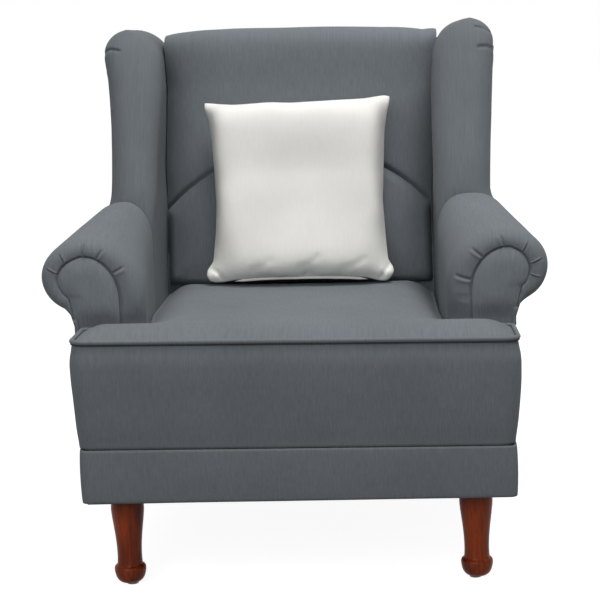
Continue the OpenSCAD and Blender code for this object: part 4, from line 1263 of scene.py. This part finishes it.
def smoothed_sheets(points, number, rear_number):
    """Smooths the small wrinkles out of both sheets, with the seam and the bottom's folds kept."""
    keep = ease(cushion_shares / fold_kept_share)[1:-1, None, None]
    for numbers in (number, rear_number):
        sheet = points[numbers]
        for _ in range(smooth_times):
            beside = sheet[:-2, 1:-1] + sheet[2:, 1:-1] + sheet[1:-1, :-2] + sheet[1:-1, 2:]
            sheet[1:-1, 1:-1] += 0.5 * keep * (beside / 4 - sheet[1:-1, 1:-1])
        points[numbers[1:-1, 1:-1]] = sheet[1:-1, 1:-1]


def cushion_form(points, number, rear_number):
    """Gives the blown-up cushion its outline, flat front, rear that rests on the back, ears and folds."""
    points = points.copy()
    seam = points[number][..., [0, 2]]
    wanted = seam_target()
    found = (seam[:, 0], seam[:, -1], seam[0], seam[-1])
    moves = filled_between(*[target - now for target, now in zip(wanted, found)])
    for numbers, move in ((number, moves), (rear_number[1:-1, 1:-1], moves[1:-1, 1:-1])):
        points[numbers, 0] += move[..., 0]
        points[numbers, 2] += move[..., 1]
    smoothed_sheets(points, number, rear_number)
    x, y, z = points.T
    left_x, right_x = wanted[3][[0, -1], 0]
    top_z = np.interp(unit((x - left_x) / (right_x - left_x)), edge_shares, top_heights)
    z = z - top_held_share * np.maximum(z - top_z, 0)
    low = 1 - within(z, low_zone)
    high = within(z, high_zone)
    front_y = -cushion_front * (1 - low_thin_share * low) * np.tanh(-y / mix(*front_flats, high))
    y = np.where(y < 0, front_y, cushion_rear * np.tanh(np.maximum(y, 0) / rear_flat))
    y = y - mix(*low_forwards, ease((low_side_x - np.abs(x)) / low_side_fall)) * low
    front = unit(-y / 5)
    for ear_x, ear_z in cushion_ears:
        near = np.exp(-((x - ear_x) / ear_w) ** 2 - ((z - ear_z) / ear_h) ** 2)
        y = y - ear_depth * near * np.where(y <= 0.5, 1, -ear_rear_share)
    points = rows_of(x, y, z)
    for fold, depth, width in cushion_folds:
        points[:, 1] += (creased(points, fold, depth, width, 0)[:, 1] - points[:, 1]) * front
    return points


def cushion_place(points):
    """Leans the cushion back and sets it on the seat."""
    sin, cos = math.sin(math.radians(cushion_lean)), math.cos(math.radians(cushion_lean))
    x, y, z = points.T
    return rows_of(x, y * cos + z * sin, z * cos - y * sin) + cushion_origin


def build_cushion():
    """Builds the cushion and gives back the places of its bottom seam."""
    points, faces, number, rear_number = cushion_sheets()
    cushion = make("scatter_cushion_cloth", points, faces)
    blow_up(cushion, pressure=4, frames=18)
    blown = np.array([v.co for v in cushion.data.vertices]) / MM
    formed = cushion_form(blown, number, rear_number)
    cushion.data.vertices.foreach_set("co", (cushion_place(formed) * MM).ravel())
    cushion.data.polygons.foreach_set("use_smooth", [True] * len(cushion.data.polygons))
    cushion.data.update()
    finer = cushion.modifiers.new("finer", "SUBSURF")
    finer.levels = finer.render_levels = 1
    dress(cushion, ["scatter_cushion_cover", "scatter_cushion_filling"], "cushion_cloth",
          body="scatter_cushion")
    return formed[number[0]]


def build_zip_flap(seam):
    """The flap over the zip, a thin lip that hangs from the middle of the bottom seam."""
    share = np.linspace(*flap_shares, 90)
    place = share * (len(seam) - 1)
    path = rows_of(*[np.interp(place, np.arange(len(seam)), column) for column in seam.T])
    path -= [0, flap_forward, flap_h / 2 - 0.5]
    taper = mix(0.15, 1, ease(np.minimum(share - share[0], share[-1] - share) / 0.05))
    flap = tube("scatter_cushion_zip_flap", cushion_place(path), flap_r * taper, flap_h / (2 * flap_r), None)
    dress(flap, [], "cushion_cloth", body="scatter_cushion")


# Studio, in metres and degrees

camera_place = (0.1439, -3.1747, 0.932)
camera_turns = {"yaw": 2.690, "pitch": 8.722, "roll": 1.9705}
camera_lens = 100.45
camera_sensor = 36
ambient_strength = 0.3
# Name, place, target, width and power of each square lamp
lamps = [("key", (0.9, -1.0, 4.6), (0, 0, 0.5), 2.2, 165),
         ("fill", (-0.9, -3.6, 2.3), (0, 0, 0.6), 2.0, 47)]
floor_reach = 40
floor_grey = 0.22
floor_shown_grey = 0.35
floor_glow = 0.92


def build_camera():
    yaw, pitch, roll = (math.radians(turn) for turn in camera_turns.values())
    ahead = Vector((-math.sin(yaw) * math.cos(pitch), math.cos(yaw) * math.cos(pitch), -math.sin(pitch)))
    level = Vector((math.cos(yaw), math.sin(yaw), 0))
    above = level.cross(ahead)
    right = level * math.cos(roll) - above * math.sin(roll)
    up = level * math.sin(roll) + above * math.cos(roll)
    camera = bpy.data.cameras.new("camera")
    camera.lens = camera_lens
    camera.sensor_width = camera_sensor
    made = linked("camera", camera)
    made.matrix_world = Matrix.Translation(camera_place) @ Matrix((right, up, -ahead)).transposed().to_4x4()
    bpy.context.scene.camera = made


def add_lamp(name, place, target, width, power):
    lamp = bpy.data.lights.new(name, "AREA")
    lamp.shape = "RECTANGLE"
    lamp.size = lamp.size_y = width
    lamp.energy = power
    made = linked(name, lamp)
    made.location = place
    made.rotation_euler = (Vector(target) - Vector(place)).to_track_quat("-Z", "Y").to_euler()


def seen_directly(tree):
    """1 for rays from the camera, from a mirror or through glass, which see the plain white background."""
    path = add(tree, "LightPath").outputs
    seen = math_node(tree, "MAXIMUM", path["Is Camera Ray"], path["Is Glossy Ray"])
    return math_node(tree, "MAXIMUM", seen, path["Is Transmission Ray"])


def build_world():
    world = bpy.data.worlds.new("studio")
    bpy.context.scene.world = world
    world.use_nodes = True
    tree = world.node_tree
    tree.nodes.clear()
    ambient, white = (add(tree, "Background", [(1, 1, 1, 1), strength]).outputs[0]
                      for strength in (ambient_strength, 1.0))
    mixed = add(tree, "MixShader", [seen_directly(tree), ambient, white]).outputs[0]
    add(tree, "OutputWorld", [mixed])


def build_floor():
    """A floor that takes the chair's shadow and shows as the white of the background."""
    mesh = bpy.data.meshes.new("floor")
    corners = [(x * floor_reach, y * floor_reach, 0) for x, y in ((-1, -1), (1, -1), (1, 1), (-1, 1))]
    mesh.from_pydata(corners, [], [(0, 1, 2, 3)])
    floor = linked("floor", mesh)
    material, tree, _ = shader_tree("floor_white")
    tree.nodes.clear()
    plain, soft = (add(tree, "BsdfDiffuse", [(grey, grey, grey, 1)]).outputs[0]
                   for grey in (floor_grey, floor_shown_grey))
    glow = add(tree, "Emission", [(1, 1, 1, 1), floor_glow]).outputs[0]
    shown = add(tree, "AddShader", [soft, glow]).outputs[0]
    mixed = add(tree, "MixShader", [seen_directly(tree), plain, shown]).outputs[0]
    add(tree, "OutputMaterial", [mixed])
    floor.data.materials.append(material)


finish_nodes()
build_seat()
build_piping()
build_base_band()
for side in ("left", "right"):
    build_arm(side)
    build_facing(side)
    build_outside_arm(side)
    build_wing(side)
    build_outside_wing(side)
build_inside_back()
build_lumbar()
build_outside_back()
build_dust_cover()
for name, place in leg_places.items():
    build_leg(name, place)
build_zip_flap(build_cushion())

build_camera()
build_world()
for lamp in lamps:
    add_lamp(*lamp)
build_floor()
bpy.context.scene.view_settings.view_transform = "Standard"
